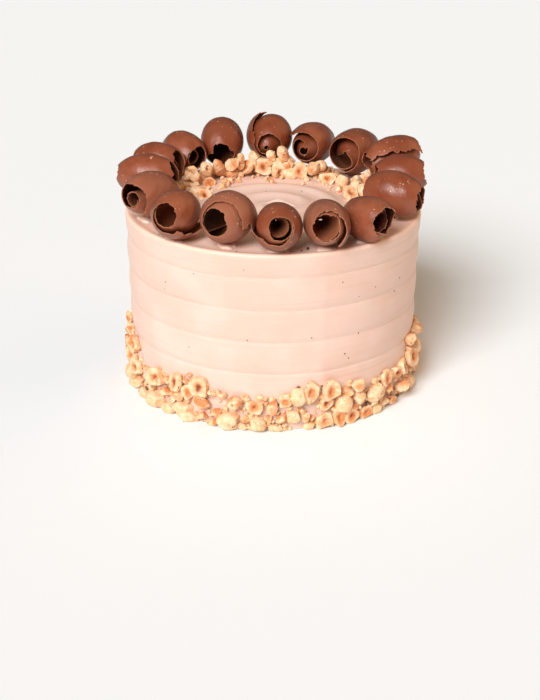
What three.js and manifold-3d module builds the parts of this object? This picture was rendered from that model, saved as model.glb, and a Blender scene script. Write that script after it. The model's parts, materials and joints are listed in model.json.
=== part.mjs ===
// A tall round layer cake under smooth chocolate hazelnut buttercream. The side is combed into
// shallow bands, the top is spread in a spiral, sixteen rolled chocolate curls stand round the rim,
// and chopped hazelnuts lie inside the curls and in a border round the foot.
// Millimetres, +Z up. The origin is the middle of the flat underside. The front is -Y.
import * as THREE from 'three';
import { mergeVertices } from 'three/addons/utils/BufferGeometryUtils.js';
import Module from 'manifold-3d';

// Iced body
const RIM_RADIUS = 82;
const FOOT_RADIUS = 80.3;
const CAKE_HEIGHT = 99.5;
const RIM_ROUND = 2.4;
const TOP_DROP = 0.7;
const BODY_SEGMENTS = 32;
const TOP_RING_STEP = 6.8;

// Bands that the comb leaves in the side: grooves one pitch apart, soft ridges between them
const BAND_PITCH = 18;
const BAND_DEPTH = 1.0;
const FIRST_GROOVE = 14.6;
const ROWS_PER_BAND = 2;

// Spiral spread in the top
const SWIRL_PITCH = 16;
const SWIRL_DEPTH = 0.6;
const SWIRL_RADIUS = 50;
const SWIRL_CENTRE = new THREE.Vector2(2, 3);

// Chocolate sheet that the curls are rolled from
const SHEET = 1.0;
const SHEET_STEPS_PER_TURN = 8;
const SHEET_ROWS = 4;
const WRAP_GAP = 0.75;

// One row for each curl, counted from the left front corner round past the front to the right, then
// along the back. Ring angle, heading and pitch in degrees, the rest in millimetres and turns:
// angle, ring radius, height of its middle, heading and pitch of one mouth, length, radius, mouth radius,
// turns, angle of the loose edge seen facing that mouth (0 right, 90 up), way that the sheet runs in from
// that edge (1 anticlockwise), lift of the edge, turns that are lifted with it
const CURLS = [
  [-160, 70.5, 113.2, -127, 7, 31, 12.9, 7.8, 1.3, 292, 1, 0.8, 0.25],
  [-131.6, 74.8, 113.2, -112, 7, 28, 13.1, 7.8, 1.45, 330, -1, 2.4, 0.42],
  [-109.6, 69.5, 113.7, -114, 8, 28, 14.3, 8.6, 1.4, 345, 1, 1.3, 0.2],
  [-88, 73.5, 112.3, -87, 11, 29, 13.0, 7.6, 1.45, 192, 1, 1.0, 0.25],
  [-69, 73.6, 112.3, -88, 10, 29, 12.5, 9.0, 1.4, 300, 1, 1.5, 0.35],
  [-49.4, 76.2, 111.6, -57, 7, 29, 12.0, 8.0, 1.2, 250, -1, 0.6, 0.2],
  [-18, 68.2, 112.6, -24, -4, 31, 13.2, 7.2, 1.4, 320, 1, 0.5, 0.2],
  [11, 73.0, 112.6, 4, 2, 28, 12.5, 7.4, 1.3, 320, 1, 0.6, 0.2],
  [31, 80.2, 115.6, -160, -12, 32, 12.2, 7.0, 1.4, 22, 1, 1.8, 0.25],
  [50.8, 75.8, 114.4, -118, 6, 30, 13.9, 10.8, 1.3, 250, 1, 0.5, 0.2],
  [71.4, 75.0, 114.9, -112, 5, 29, 12.8, 9.2, 1.35, 150, -1, 1.4, 0.25],
  [91.4, 75.0, 118.3, -94, -7, 29, 14.4, 8.8, 1.45, 132, 1, 0.8, 0.25],
  [114.4, 76.0, 116.4, -90, -26, 28, 13.8, 8.4, 1.15, 250, 1, 0.6, 0.2],
  [133.0, 76.8, 113.9, -58, -7, 29, 12.1, 6.9, 1.5, 200, -1, 0.7, 0.2],
  [151.6, 75.8, 113.6, -25, 0, 28, 11.7, 6.7, 1.4, 280, 1, 0.8, 0.2],
  [170, 71.8, 112.9, -13, 2, 33, 12.5, 6.6, 1.4, 300, -1, 0.8, 0.2],
];
// Room kept between a nut's corners and the curls
const CURL_CLEARANCE = 1.0;

// Chopped hazelnuts: a piece is NUT_SIZE across times a share drawn between the two limits, and leans by
// up to NUT_LEAN radians
const NUT_SEED = 20417;
const NUT_SIZE = 10.8;
const NUT_SHARES = [0.78, 1.14];
const NUT_LEAN = 0.75;
const HALF_KERNELS = 0.48;
const ROUND_KERNELS = 0.22;

// Nuts that show in the front of the border, one row each, in degrees and millimetres: angle round the
// cake, height of its middle, width, height, shape (0 half kernel, 1 round side out, 2 chunk), tilt seen
// from the front
const FRONT_BORDER = [
  [-174, 35, 7, 7, 2, 20],
  [-168.4, 30, 9, 6.6, 2, 0],
  [-170.8, 22.3, 9, 6.8, 2, 0],
  [-159, 27.6, 10, 9.6, 0, 30],
  [-158.3, 13.6, 12, 10.4, 0, 0],
  [-170.6, 13, 10, 6.6, 0, 0],
  [-169, 4.2, 11, 8, 1, 0],
  [-159.5, 3.6, 12.5, 7.6, 1, 10],
  [-153.9, 8.6, 8, 5.4, 2, 0],
  [-150, 2.6, 10.5, 6, 1, 0],
  [-139.6, 18.5, 12, 11.1, 0, 70],
  [-143.4, 9.2, 8, 6, 2, 30],
  [-140.9, 4.2, 12.5, 10.2, 1, 0],
  [-134.4, 12.0, 8, 8.2, 2, 0],
  [-133.1, 2.6, 10, 6.5, 1, 0],
  [-128.6, 20.9, 11, 10.4, 0, 20],
  [-127.8, 12.8, 8, 7.5, 2, 20],
  [-125.8, 6.4, 12.5, 6.4, 1, 6],
  [-122.8, 16.4, 9, 8.2, 0, 0],
  [-123, 2.2, 11.5, 7.6, 1, 0],
  [-117.6, 22, 11, 12.4, 0, 80],
  [-117.3, 12.8, 11.5, 7.4, 2, -20],
  [-116.8, 5, 6.5, 6.9, 2, 0],
  [-110.6, 8.4, 7, 6, 2, 0],
  [-112.7, 2.4, 6.6, 5.8, 2, 10],
  [-108.9, 19, 5.4, 5, 2, 0],
  [-103.6, 16.2, 9.2, 11.3, 2, 0],
  [-106.1, 5, 12, 10.6, 1, 0],
  [-99.9, 7, 5.2, 5.4, 2, 0],
  [-101, 2.2, 7, 4.4, 2, 0],
  [-96.6, 14.4, 10.1, 9.1, 0, -20],
  [-95.1, 4.6, 9.6, 8.4, 1, 0],
  [-91.4, 7.4, 5.4, 5.4, 2, 0],
  [-88.5, 2.2, 8, 4.6, 1, 0],
  [-89.7, 14, 6.8, 9.3, 2, 10],
  [-86.4, 8.2, 7.2, 7, 2, 30],
  [-85.3, 18.2, 7.4, 10.2, 0, 0],
  [-80.4, 21, 9.1, 10.7, 1, 15],
  [-82, 8.6, 7.6, 7.6, 1, 0],
  [-77.3, 7.8, 6.2, 6.4, 2, 0],
  [-75.9, 2.2, 6.6, 4.6, 1, 0],
  [-75.7, 22.8, 8.8, 11.3, 0, 0],
  [-68.1, 21.8, 11.4, 11.6, 0, -30],
  [-69.5, 14.4, 8.5, 7.6, 0, 0],
  [-70.1, 5, 9.8, 9.6, 0, 0],
  [-64, 4.8, 8, 9.2, 0, 20],
  [-62.3, 12.6, 10.2, 11.5, 1, -20],
  [-60.5, 19, 7.4, 5.9, 2, 0],
  [-56.1, 21.5, 11, 7.5, 2, 10],
  [-55, 13.4, 7.9, 8.2, 1, 0],
  [-57.6, 8, 6.4, 5.4, 2, 0],
  [-58.8, 4.2, 9.4, 8.1, 0, 0],
  [-51.7, 3.6, 8.9, 7.6, 0, 0],
  [-46.8, 13, 12.2, 9.6, 1, 20],
  [-47.1, 7, 7.3, 5.5, 2, 0],
  [-46.2, 2.6, 8.1, 5.9, 1, 0],
  [-40.9, 18.4, 10, 8.4, 0, 40],
  [-38.9, 11, 7.5, 7.1, 2, 0],
  [-41, 4.8, 8, 6, 2, 0],
  [-36.6, 2.8, 8.4, 5.6, 2, 0],
  [-33.4, 18, 9.3, 8, 0, -30],
  [-28.2, 18.6, 9, 10, 0, 60],
  [-29.1, 8, 12, 9.4, 2, 0],
  [-20.2, 20.6, 12.4, 11.5, 0, 0],
  [-20.4, 31.2, 10, 7.8, 2, 0],
  [-19, 4, 10, 7, 1, 0],
  [-13, 11.4, 10.5, 9, 0, 0],
  [-9.4, 20.4, 10.5, 8.6, 1, 0],
  [-9, 30, 8.6, 8, 2, 0],
];
// Half the width of the front sector in degrees, how far one of its nuts may lean in radians, how far its
// middle stands out from the icing as a share of its size, and how much wider the few-sided shape is
const FRONT_HALF_WIDTH = 85;
const FRONT_LEAN = 0.5;
const FRONT_STAND = 0.28;
const FRONT_WIDER = 1.1;

// Border round the rest of the foot: nuts in a full row, heights of the rows, how far a nut's middle
// stands out from the icing, how far it may lie from its place in the row, and how far down the upper
// edge may push it
const BORDER_NUTS = 29;
const BORDER_ROWS = [4.8, 13.8, 22.8, 31.8];
const BORDER_STAND = 2.2;
const ROW_WANDER = 3;
const ROW_SHIFT = 5;
const ANGLE_WANDER = 0.35;
// Height of the border's uneven upper edge every 10 degrees, from -180 degrees on
const BORDER_HEIGHTS = [
  37, 40, 35, 21, 24, 26, 29, 22, 21, 20, 28, 26,
  26, 21, 22, 22, 29, 36, 31, 25, 23, 27, 30, 24,
  20, 25, 29, 31, 26, 22, 24, 29, 33, 27, 23, 30,
];
// Nuts heaped against the curls from the right round the back to the left, one row each, in
// millimetres and degrees: x, y, height of its middle above the icing, size, shape (0 half kernel,
// 1 round side out, 2 chunk), heading and pitch of its face
const HEAP = [
  [44, 17, 2.4, 10.4, 0, -70, 50],
  [51, 20, 3.4, 8.0, 1, -120, 30],
  [48, 28, 2.8, 8.4, 1, -110, 40],
  [38, 28, 0.8, 6.5, 2, -100, 70],
  [49, 37, 2.6, 8.6, 2, -120, 40],
  [40, 39, 2.4, 9.0, 1, -110, 35],
  [32, 43, 2.6, 9.6, 0, -100, 30],
  [37, 50, 3.0, 9.2, 2, -110, 20],
  [30, 55, 3.4, 9.6, 1, -80, 30],
  [28.4, 52.6, 8.8, 7.8, 1, -80, 30],
  [23.5, 51.5, 6.6, 10.6, 2, -150, 10],
  [15.4, 52, 4.4, 10.8, 0, -80, 20],
  [9.5, 54, 3.0, 10.0, 1, -95, 40],
  [3.0, 56.5, 7.6, 9.4, 1, -80, 20],
  [5.8, 55, 14.6, 9.0, 1, -60, 30],
  [3, 55, 3.4, 9.8, 0, -30, 5],
  [-6.2, 55.5, 6.0, 11.8, 0, -95, 8],
  [-11.3, 56.5, 12.4, 9.0, 2, -80, 30],
  [-16.2, 55, 5.8, 9.4, 0, -150, 10],
  [-24.4, 51, 8.8, 9.6, 2, -80, 25],
  [-25, 56, 3.8, 10.6, 2, -80, 35],
  [-33, 53, 4.0, 11.6, 2, -60, 30],
  [-40, 48, 3.0, 8.8, 2, -60, 50],
  [-37, 38, 1.4, 8.2, 0, -60, 55],
  [-43, 42, 3.0, 8.0, 2, -50, 40],
  [-30, 33, 0.8, 6.4, 2, -80, 70],
  [-45, 33, 1.6, 7.8, 2, -40, 50],
  [-51, 37, 2.6, 8.6, 1, -40, 40],
  [-52, 28, 2.0, 8.0, 2, -40, 50],
  [-44, 23, 1.2, 8.0, 1, -60, 60],
  [-39, 14, 1.4, 8.8, 0, -80, 50],
  [-50, 14, 1.6, 8.4, 2, -60, 60],
  [39, 56, 7.0, 8.8, 2, -90, 30],
  [9.5, 55, 9.2, 9.0, 2, -90, 30],
  [-19.6, 53.5, 11.8, 6.8, 2, -80, 30],
  [-40, 44, 5.4, 8.6, 2, -60, 30],
  [54, 44, 5.2, 8.6, 2, -130, 30],
  [-33.6, 50.5, 8.0, 10.6, 2, -60, 20],
  [-1.2, 56, 12.8, 7.4, 2, -90, 30],
  [-46, 36, 5.6, 8.0, 2, -40, 40],
  [-47, 36, 9.6, 7.4, 2, -40, 40],
  [-39, 42, 9.0, 8.6, 1, -60, 30],
  [-50.5, 36, 7.0, 7.6, 2, -40, 40],
  [-13, 56, 8.4, 7.8, 2, -90, 30],
  [-2.5, 56, 9.0, 7.6, 2, -90, 30],
  [-20.5, 53.5, 7.8, 8.0, 2, -90, 30],
  [7, 55.5, 6.4, 9.0, 2, -90, 20],
];
// Rings of nuts elsewhere on the top: ring radius and the angles that the ring runs between
const TOP_RINGS = [
  [57, -196, -160],
  [57, -22, 14],
  [64, 22, 50],
  [64, 130, 158],
  [73, 20, 160],
];
const TOP_NUT_SPACING = 12.5;
const RING_WANDER = 4;
const RING_ANGLE_WANDER = 0.7;
// A nut sinks into what it lies on, so its middle is this share of its size above it
const LYING_SHARE = 0.24;
const HEAP_LEAN_SHARE = 0.4;
// A nut's middle stays this share of its size below the border's upper edge
const EDGE_SHARE = 0.4;
// A nut that would meet a curl is moved towards the middle of the cake, lowered and taken smaller
const FIT_STEPS = 7;
const FIT_INWARD = 0.7;
const FIT_DOWN = 0.4;
const FIT_SMALLER = 0.94;

const BUTTERCREAM = { color: 0xe3c3ac, roughness: 0.55, metalness: 0 };
const CHOCOLATE = { color: 0x6f3d2b, roughness: 0.38, metalness: 0 };

const TURN = 2 * Math.PI;
const radians = THREE.MathUtils.degToRad;

// The same short chain of numbers on every run, each from 0 up to 1
function seededRandom(seed) {
  let state = seed;
  return function next() {
    state = (Math.imul(1664525, state) + 1013904223) >>> 0;
    return state / 4294967296;
  };
}

// Unit vector from a heading and a pitch in degrees
function direction(heading, pitch) {
  const flat = Math.cos(radians(pitch));
  return new THREE.Vector3(
    flat * Math.cos(radians(heading)),
    flat * Math.sin(radians(heading)),
    Math.sin(radians(pitch)),
  );
}

// Manifold solids and back
const wasm = await Module();
wasm.setup();

function toSolid(geometry) {
  const bare = geometry.clone();
  bare.deleteAttribute('normal');
  bare.deleteAttribute('uv');
  const merged = mergeVertices(bare, 1e-4);
  const mesh = new wasm.Mesh({
    numProp: 3,
    vertProperties: new Float32Array(merged.attributes.position.array),
    triVerts: new Uint32Array(merged.index.array),
  });
  return new wasm.Manifold(mesh);
}

function toGeometry(solid) {
  const mesh = solid.getMesh();
  const geometry = new THREE.BufferGeometry();
  geometry.setAttribute('position', new THREE.BufferAttribute(new Float32Array(mesh.vertProperties), 3));
  geometry.setIndex(new THREE.BufferAttribute(new Uint32Array(mesh.triVerts), 1));
  geometry.computeVertexNormals();
  return geometry;
}

// Radius of the combed side at a height
function sideRadius(z) {
  const straight = THREE.MathUtils.lerp(FOOT_RADIUS, RIM_RADIUS, z / CAKE_HEIGHT);
  const wave = Math.abs(Math.sin(Math.PI * (z - FIRST_GROOVE) / BAND_PITCH));
  return straight - BAND_DEPTH * (1 - wave);
}

// Height of the spread top at a place
function topHeight(x, y) {
  const dx = x - SWIRL_CENTRE.x;
  const dy = y - SWIRL_CENTRE.y;
  const fromCentre = Math.hypot(dx, dy);
  const phase = TURN * fromCentre / SWIRL_PITCH - Math.atan2(dy, dx);
  const fade = THREE.MathUtils.clamp((SWIRL_RADIUS - fromCentre) / 6, 0, 1);
  const start = THREE.MathUtils.clamp(fromCentre / 6, 0, 1);
  return CAKE_HEIGHT - TOP_DROP + SWIRL_DEPTH * fade * start * Math.cos(phase);
}

// The iced body is one turned solid: flat underside, combed side, crisp rim, spread top
function makeIcing() {
  const profile = [new THREE.Vector2(0, 0)];
  const sideTop = CAKE_HEIGHT - RIM_ROUND;
  const rowStep = BAND_PITCH / ROWS_PER_BAND;
  profile.push(new THREE.Vector2(sideRadius(0), 0));
  for (let z = FIRST_GROOVE - rowStep; z < sideTop - 1; z += rowStep) {
    profile.push(new THREE.Vector2(sideRadius(z), z));
  }
  profile.push(new THREE.Vector2(RIM_RADIUS, sideTop));
  profile.push(new THREE.Vector2(RIM_RADIUS - RIM_ROUND * 0.4, CAKE_HEIGHT - RIM_ROUND * 0.2));
  profile.push(new THREE.Vector2(RIM_RADIUS - RIM_ROUND, CAKE_HEIGHT));
  const rings = Math.floor(SWIRL_RADIUS / TOP_RING_STEP);
  profile.push(new THREE.Vector2(RIM_RADIUS - 4 * RIM_ROUND, CAKE_HEIGHT - TOP_DROP));
  for (let ring = rings; ring > 0; ring -= 1) {
    profile.push(new THREE.Vector2(ring * TOP_RING_STEP, CAKE_HEIGHT - TOP_DROP));
  }
  profile.push(new THREE.Vector2(0, CAKE_HEIGHT - TOP_DROP));
  const geometry = new THREE.LatheGeometry(profile, BODY_SEGMENTS);
  geometry.rotateX(Math.PI / 2);
  const place = geometry.attributes.position;
  for (let i = 0; i < place.count; i += 1) {
    const x = place.getX(i);
    const y = place.getY(i);
    const onTop = place.getZ(i) > CAKE_HEIGHT / 2 && Math.hypot(x, y) < RIM_RADIUS - 3 * RIM_ROUND;
    if (onTop) {
      place.setZ(i, topHeight(x, y));
    }
  }
  return toSolid(geometry);
}

// Curls by name, from the rows above
const curls = CURLS.map((row) => {
  const [angle, ring, height, heading, pitch, length, radius, mouth, turns, edge, hand, lift, loose] = row;
  const centre = new THREE.Vector3(ring * Math.cos(radians(angle)), ring * Math.sin(radians(angle)), height);
  const axis = direction(heading, pitch);
  return { centre, axis, length, radius, mouth, turns, edge: radians(edge), hand, lift, loose };
});

// Outer radius of a curl at a share of its half length: an egg cut off at both mouths
function barrelRadius(curl, share) {
  const taper = 1 - (curl.mouth / curl.radius) ** 2;
  return curl.radius * Math.sqrt(Math.max(0, 1 - taper * share * share));
}

// A flat sheet is rolled into a barrel: x runs round the roll, y along it, z through the sheet
function makeCurl(curl) {
  const steps = Math.round(curl.turns * SHEET_STEPS_PER_TURN);
  const roundness = Math.acos(curl.mouth / curl.radius);
  const geometry = new THREE.BoxGeometry(1, 2, 1, steps, SHEET_ROWS, 1);
  const side = new THREE.Vector3(-curl.axis.y, curl.axis.x, 0).normalize();
  const up = new THREE.Vector3().crossVectors(curl.axis, side);
  const place = geometry.attributes.position;
  const point = new THREE.Vector3();
  for (let i = 0; i < place.count; i += 1) {
    const along = place.getX(i) + 0.5;
    const share = Math.sin(place.getY(i) * roundness) / Math.sin(roundness);
    const depth = 0.5 - place.getZ(i);
    const turned = along * curl.turns;
    const angle = curl.edge + curl.hand * turned * TURN;
    const loose = Math.max(0, 1 - turned / curl.loose);
    const lifted = curl.lift * loose * loose;
    const radius = barrelRadius(curl, share) + lifted - turned * (SHEET + WRAP_GAP) - depth * SHEET;
    point.copy(curl.centre);
    point.addScaledVector(curl.axis, share * curl.length / 2);
    point.addScaledVector(side, radius * Math.cos(angle));
    point.addScaledVector(up, radius * Math.sin(angle));
    place.setXYZ(i, point.x, point.y, point.z);
  }
  if (curl.hand < 0) {
    geometry.index.array.reverse();
  }
  return geometry;
}

// True where a point lies inside a curl or too close to it
function meetsCurl(point) {
  const offset = new THREE.Vector3();
  return curls.some((curl) => {
    offset.subVectors(point, curl.centre);
    const along = Math.abs(offset.dot(curl.axis));
    const across = Math.sqrt(Math.max(0, offset.lengthSq() - along * along));
    const share = Math.min(1, 2 * along / curl.length);
    const past = along - curl.length / 2;
    return past < CURL_CLEARANCE && across < barrelRadius(curl, share) + CURL_CLEARANCE;
  });
}

// Value at an angle from a list that runs evenly round the cake, from -180 degrees on
function roundTheCake(list, angle) {
  const turns = angle / TURN + 0.5;
  const place = (turns - Math.floor(turns)) * list.length;
  const low = Math.floor(place) % list.length;
  return THREE.MathUtils.lerp(list[low], list[(low + 1) % list.length], place - Math.floor(place));
}

// Nearly half of the pieces are half kernels, the rest lie round side out or are chunks
function pickKind(draw) {
  if (draw < HALF_KERNELS) {
    return 0;
  }
  return draw < HALF_KERNELS + ROUND_KERNELS ? 1 : 2;
}

// Draws that every piece of nut takes, in one fixed order
function drawNut(random) {
  return {
    size: NUT_SIZE * THREE.MathUtils.lerp(...NUT_SHARES, random()),
    kind: pickKind(random()),
    spin: TURN * random(),
    lean: NUT_LEAN * random(),
    leanWay: TURN * random(),
    long: 0.85 + 0.3 * random(),
    shift: random() - 0.5,
    rise: random() - 0.5,
  };
}

// Half a kernel, cut face out, with the hollow in its middle; radius 1 and height about 1
const halfProfile = [[0, -0.95], [1, 0.06], [0.66, 0.36], [0, 0.06]];
const halfKernel = new THREE.LatheGeometry(halfProfile.map(([r, h]) => new THREE.Vector2(r, h)), 6);
halfKernel.rotateX(Math.PI / 2);

// A split kernel lying round side out
const domeProfile = [[0, -0.85], [1, -0.15], [0.76, 0.38], [0, 0.62]];
const domeKernel = new THREE.LatheGeometry(domeProfile.map(([r, h]) => new THREE.Vector2(r, h)), 5);
domeKernel.rotateX(Math.PI / 2);

// A broken chunk
const chunk = new THREE.CylinderGeometry(0.62, 0.98, 1.15, 4);

// The shape of one nut with its middle at a point, its face turned out
function placeNut(nut, middle, out) {
  const shape = [halfKernel, domeKernel, chunk][nut.kind];
  const half = nut.size / 2;
  const lean = new THREE.Vector3(Math.cos(nut.leanWay), Math.sin(nut.leanWay), 0);
  const turned = new THREE.Quaternion().setFromUnitVectors(new THREE.Vector3(0, 0, 1), out);
  turned.multiply(new THREE.Quaternion().setFromAxisAngle(lean, nut.lean));
  turned.multiply(new THREE.Quaternion().setFromAxisAngle(new THREE.Vector3(0, 0, 1), nut.spin));
  const size = new THREE.Vector3(half * nut.long, half / nut.long, half);
  const placed = shape.clone();
  placed.applyMatrix4(new THREE.Matrix4().compose(middle, turned, size));
  return placed;
}

function clearOfCurls(geometry) {
  const place = geometry.attributes.position;
  const corner = new THREE.Vector3();
  for (let i = 0; i < place.count; i += 1) {
    if (meetsCurl(corner.fromBufferAttribute(place, i))) {
      return false;
    }
  }
  return true;
}

// Nuts pressed into the foot of the side where it faces the front
function frontNuts(random) {
  return FRONT_BORDER.map(([angle, z, width, height, kind, tilt]) => {
    const size = FRONT_WIDER * Math.sqrt(width * height);
    const nut = { ...drawNut(random), kind, size, long: Math.sqrt(width / height) };
    nut.lean *= FRONT_LEAN / NUT_LEAN;
    nut.spin = radians(angle + 90 + tilt);
    const reach = sideRadius(z) + FRONT_STAND * nut.size;
    const turn = radians(angle);
    const middle = new THREE.Vector3(reach * Math.cos(turn), reach * Math.sin(turn), z);
    return placeNut(nut, middle, new THREE.Vector3(Math.cos(turn), Math.sin(turn), 0.12).normalize());
  });
}

// Nuts round the rest of the foot, row on row up to the uneven edge of the border
function borderNuts(random) {
  const nuts = [];
  BORDER_ROWS.forEach((rowHeight, row) => {
    for (let k = 0; k < BORDER_NUTS; k += 1) {
      const nut = drawNut(random);
      const step = k + 0.5 * (row % 2) + ANGLE_WANDER * nut.shift;
      const angle = TURN * step / BORDER_NUTS - Math.PI;
      const highest = roundTheCake(BORDER_HEIGHTS, angle) - EDGE_SHARE * nut.size;
      const z = Math.min(rowHeight + ROW_WANDER * nut.rise, highest);
      const reach = sideRadius(z) + BORDER_STAND;
      const middle = new THREE.Vector3(reach * Math.cos(angle), reach * Math.sin(angle), z);
      const out = new THREE.Vector3(Math.cos(angle), Math.sin(angle), 0.25 - 0.2 * nut.rise).normalize();
      const fromFront = Math.abs(Math.atan2(middle.x, -middle.y));
      if (z > rowHeight - ROW_SHIFT && fromFront > radians(FRONT_HALF_WIDTH)) {
        nuts.push(placeNut(nut, middle, out));
      }
    }
  });
  return nuts;
}

// A nut on the top, moved until it is clear of the curls; nothing where there is no room for it
function fitNut(nut, middle, out) {
  const inward = new THREE.Vector3(-middle.x, -middle.y, 0).normalize();
  for (let step = 0; step < FIT_STEPS; step += 1) {
    const placed = placeNut(nut, middle, out);
    if (clearOfCurls(placed)) {
      return [placed];
    }
    middle.addScaledVector(inward, FIT_INWARD);
    middle.z -= FIT_DOWN;
    nut.size *= FIT_SMALLER;
  }
  return [];
}

// The heap at the back, each nut leaning a little its own way
function heapNuts(random) {
  return HEAP.flatMap(([x, y, above, size, kind, heading, pitch]) => {
    const nut = { ...drawNut(random), size, kind };
    nut.lean *= HEAP_LEAN_SHARE;
    const middle = new THREE.Vector3(x, y, CAKE_HEIGHT - TOP_DROP + above);
    return fitNut(nut, middle, direction(heading, pitch));
  });
}

// Rings of nuts lying on the icing
function ringNuts(random) {
  return TOP_RINGS.flatMap(([ring, from, to]) => {
    const count = Math.round(radians(to - from) * ring / TOP_NUT_SPACING);
    return Array.from({ length: count }, (_, k) => {
      const nut = drawNut(random);
      const angle = radians(from + (to - from) * (k + 0.5 + RING_ANGLE_WANDER * nut.shift) / count);
      const reach = ring + RING_WANDER * nut.rise;
      const z = CAKE_HEIGHT - TOP_DROP + LYING_SHARE * nut.size;
      const middle = new THREE.Vector3(reach * Math.cos(angle), reach * Math.sin(angle), z);
      return fitNut(nut, middle, new THREE.Vector3(0, 0, 1));
    }).flat();
  });
}

// Only the largest closed shell is kept, so that hollows between fused nuts are filled
function outerShell(solid) {
  return solid.decompose().reduce((best, piece) => (piece.volume() > best.volume() ? piece : best));
}

function makeIcedCake() {
  const random = seededRandom(NUT_SEED);
  const frontRandom = seededRandom(NUT_SEED + 1);
  const nuts = [...borderNuts(random), ...frontNuts(frontRandom), ...heapNuts(random), ...ringNuts(random)];
  let cake = makeIcing();
  nuts.forEach((nut) => {
    cake = cake.add(toSolid(nut));
  });
  const below = new THREE.BoxGeometry(4 * RIM_RADIUS, 4 * RIM_RADIUS, 20);
  below.translate(0, 0, -10);
  cake = cake.subtract(toSolid(below));
  return toGeometry(outerShell(cake));
}

const cake = new THREE.Group();

const icedCake = new THREE.Mesh(makeIcedCake(), new THREE.MeshStandardMaterial(BUTTERCREAM));
icedCake.name = 'iced_cake';
cake.add(icedCake);

curls.forEach((curl, index) => {
  const mesh = new THREE.Mesh(makeCurl(curl), new THREE.MeshStandardMaterial(CHOCOLATE));
  mesh.name = `chocolate_curl_${String(index + 1).padStart(2, '0')}`;
  cake.add(mesh);
});

export default cake;
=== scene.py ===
import json
import math

import bmesh
import bpy
import numpy as np
from mathutils import Matrix, Quaternion, Vector, noise

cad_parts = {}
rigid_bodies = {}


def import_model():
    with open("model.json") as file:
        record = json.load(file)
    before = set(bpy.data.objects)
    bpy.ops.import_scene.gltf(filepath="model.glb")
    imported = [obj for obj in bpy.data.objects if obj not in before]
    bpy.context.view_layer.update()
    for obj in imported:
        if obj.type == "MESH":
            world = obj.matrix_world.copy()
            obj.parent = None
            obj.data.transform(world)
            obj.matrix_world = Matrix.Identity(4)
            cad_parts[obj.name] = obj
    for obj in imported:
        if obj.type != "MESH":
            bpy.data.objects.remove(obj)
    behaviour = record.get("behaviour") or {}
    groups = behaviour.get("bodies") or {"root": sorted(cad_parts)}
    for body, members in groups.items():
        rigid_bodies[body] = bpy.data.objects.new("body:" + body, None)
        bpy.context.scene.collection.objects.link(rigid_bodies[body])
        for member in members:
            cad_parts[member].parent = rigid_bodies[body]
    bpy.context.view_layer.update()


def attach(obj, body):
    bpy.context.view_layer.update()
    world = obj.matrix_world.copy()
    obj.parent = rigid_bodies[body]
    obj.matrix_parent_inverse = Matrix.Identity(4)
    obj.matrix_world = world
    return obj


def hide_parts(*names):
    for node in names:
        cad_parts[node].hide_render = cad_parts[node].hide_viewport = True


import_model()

# Viewpoint, floor and light
# The cake is seen from 0.76 m away and a little above, on a white surface. Soft daylight comes from above
# on the left, and a weaker warm light from the right.
MM = 0.001
PHOTO_LONG_SIDE = 700
FOCAL_PIXELS = 1297.15
SENSOR = 36.0
CAMERA_PLACE = Vector((-1.29, -692.5, 324.2)) * MM
CAMERA_PITCH = 0.4254
CAMERA_ROLL = 0.0064
FLOOR_HALF = 12.0
FLOOR_WHITE = (0.945, 0.995, 1.0, 1.0)
SKY_WHITE = (1.0, 0.90, 0.76, 1.0)
SKY_STRENGTH = 0.22
# Large soft lights far away: heading and height they shine from, how wide they look, all in degrees,
# strength in watts per square metre, colour
SOFT_LIGHTS = [
    (-116, 36, 30, 3.46, (0.985, 1.01, 1.07)),
    (8, 38, 60, 0.70, (1.0, 0.57, 0.29)),
]

camera_data = bpy.data.cameras.new("camera")
camera_data.sensor_width = SENSOR
camera_data.lens = FOCAL_PIXELS * SENSOR / PHOTO_LONG_SIDE
camera_data.clip_start = 0.01
camera = bpy.data.objects.new("camera", camera_data)
looking = Matrix.Rotation(math.pi / 2 - CAMERA_PITCH, 4, "X") @ Matrix.Rotation(CAMERA_ROLL, 4, "Z")
camera.matrix_world = Matrix.Translation(CAMERA_PLACE) @ looking
bpy.context.scene.collection.objects.link(camera)
bpy.context.scene.camera = camera
bpy.context.scene.view_settings.view_transform = "Standard"


def new_object(name, mesh):
    """Adds a piece to the scene at the origin."""
    made = bpy.data.objects.new(name, mesh)
    bpy.context.scene.collection.objects.link(made)
    return made


def new_mesh(name, points, faces):
    """A mesh from points in millimetres."""
    mesh = bpy.data.meshes.new(name)
    mesh.from_pydata((np.asarray(points) * MM).tolist(), [], faces)
    mesh.update()
    return mesh


def new_material(name):
    """A node material; gives the material, its node tree and its main shader."""
    material = bpy.data.materials.new(name)
    material.use_nodes = True
    tree = material.node_tree
    shader = next(node for node in tree.nodes if node.type == "BSDF_PRINCIPLED")
    return material, tree, shader


floor_corners = ((-1, -1), (1, -1), (1, 1), (-1, 1))
floor_points = [(x * FLOOR_HALF / MM, y * FLOOR_HALF / MM, 0) for x, y in floor_corners]
floor = new_object("floor", new_mesh("floor", floor_points, [(0, 1, 2, 3)]))
floor_material, _, floor_shader = new_material("white_floor")
floor_shader.inputs["Base Color"].default_value = FLOOR_WHITE
floor_shader.inputs["Roughness"].default_value = 0.9
floor.data.materials.append(floor_material)

sky = bpy.data.worlds.new("sky")
sky.use_nodes = True
sky.node_tree.nodes["Background"].inputs["Color"].default_value = SKY_WHITE
sky.node_tree.nodes["Background"].inputs["Strength"].default_value = SKY_STRENGTH
bpy.context.scene.world = sky


def direction(heading, pitch):
    """Unit vector from a heading and a pitch in degrees."""
    flat = math.cos(math.radians(pitch))
    turn = math.radians(heading)
    return Vector((flat * math.cos(turn), flat * math.sin(turn), math.sin(math.radians(pitch))))


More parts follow.
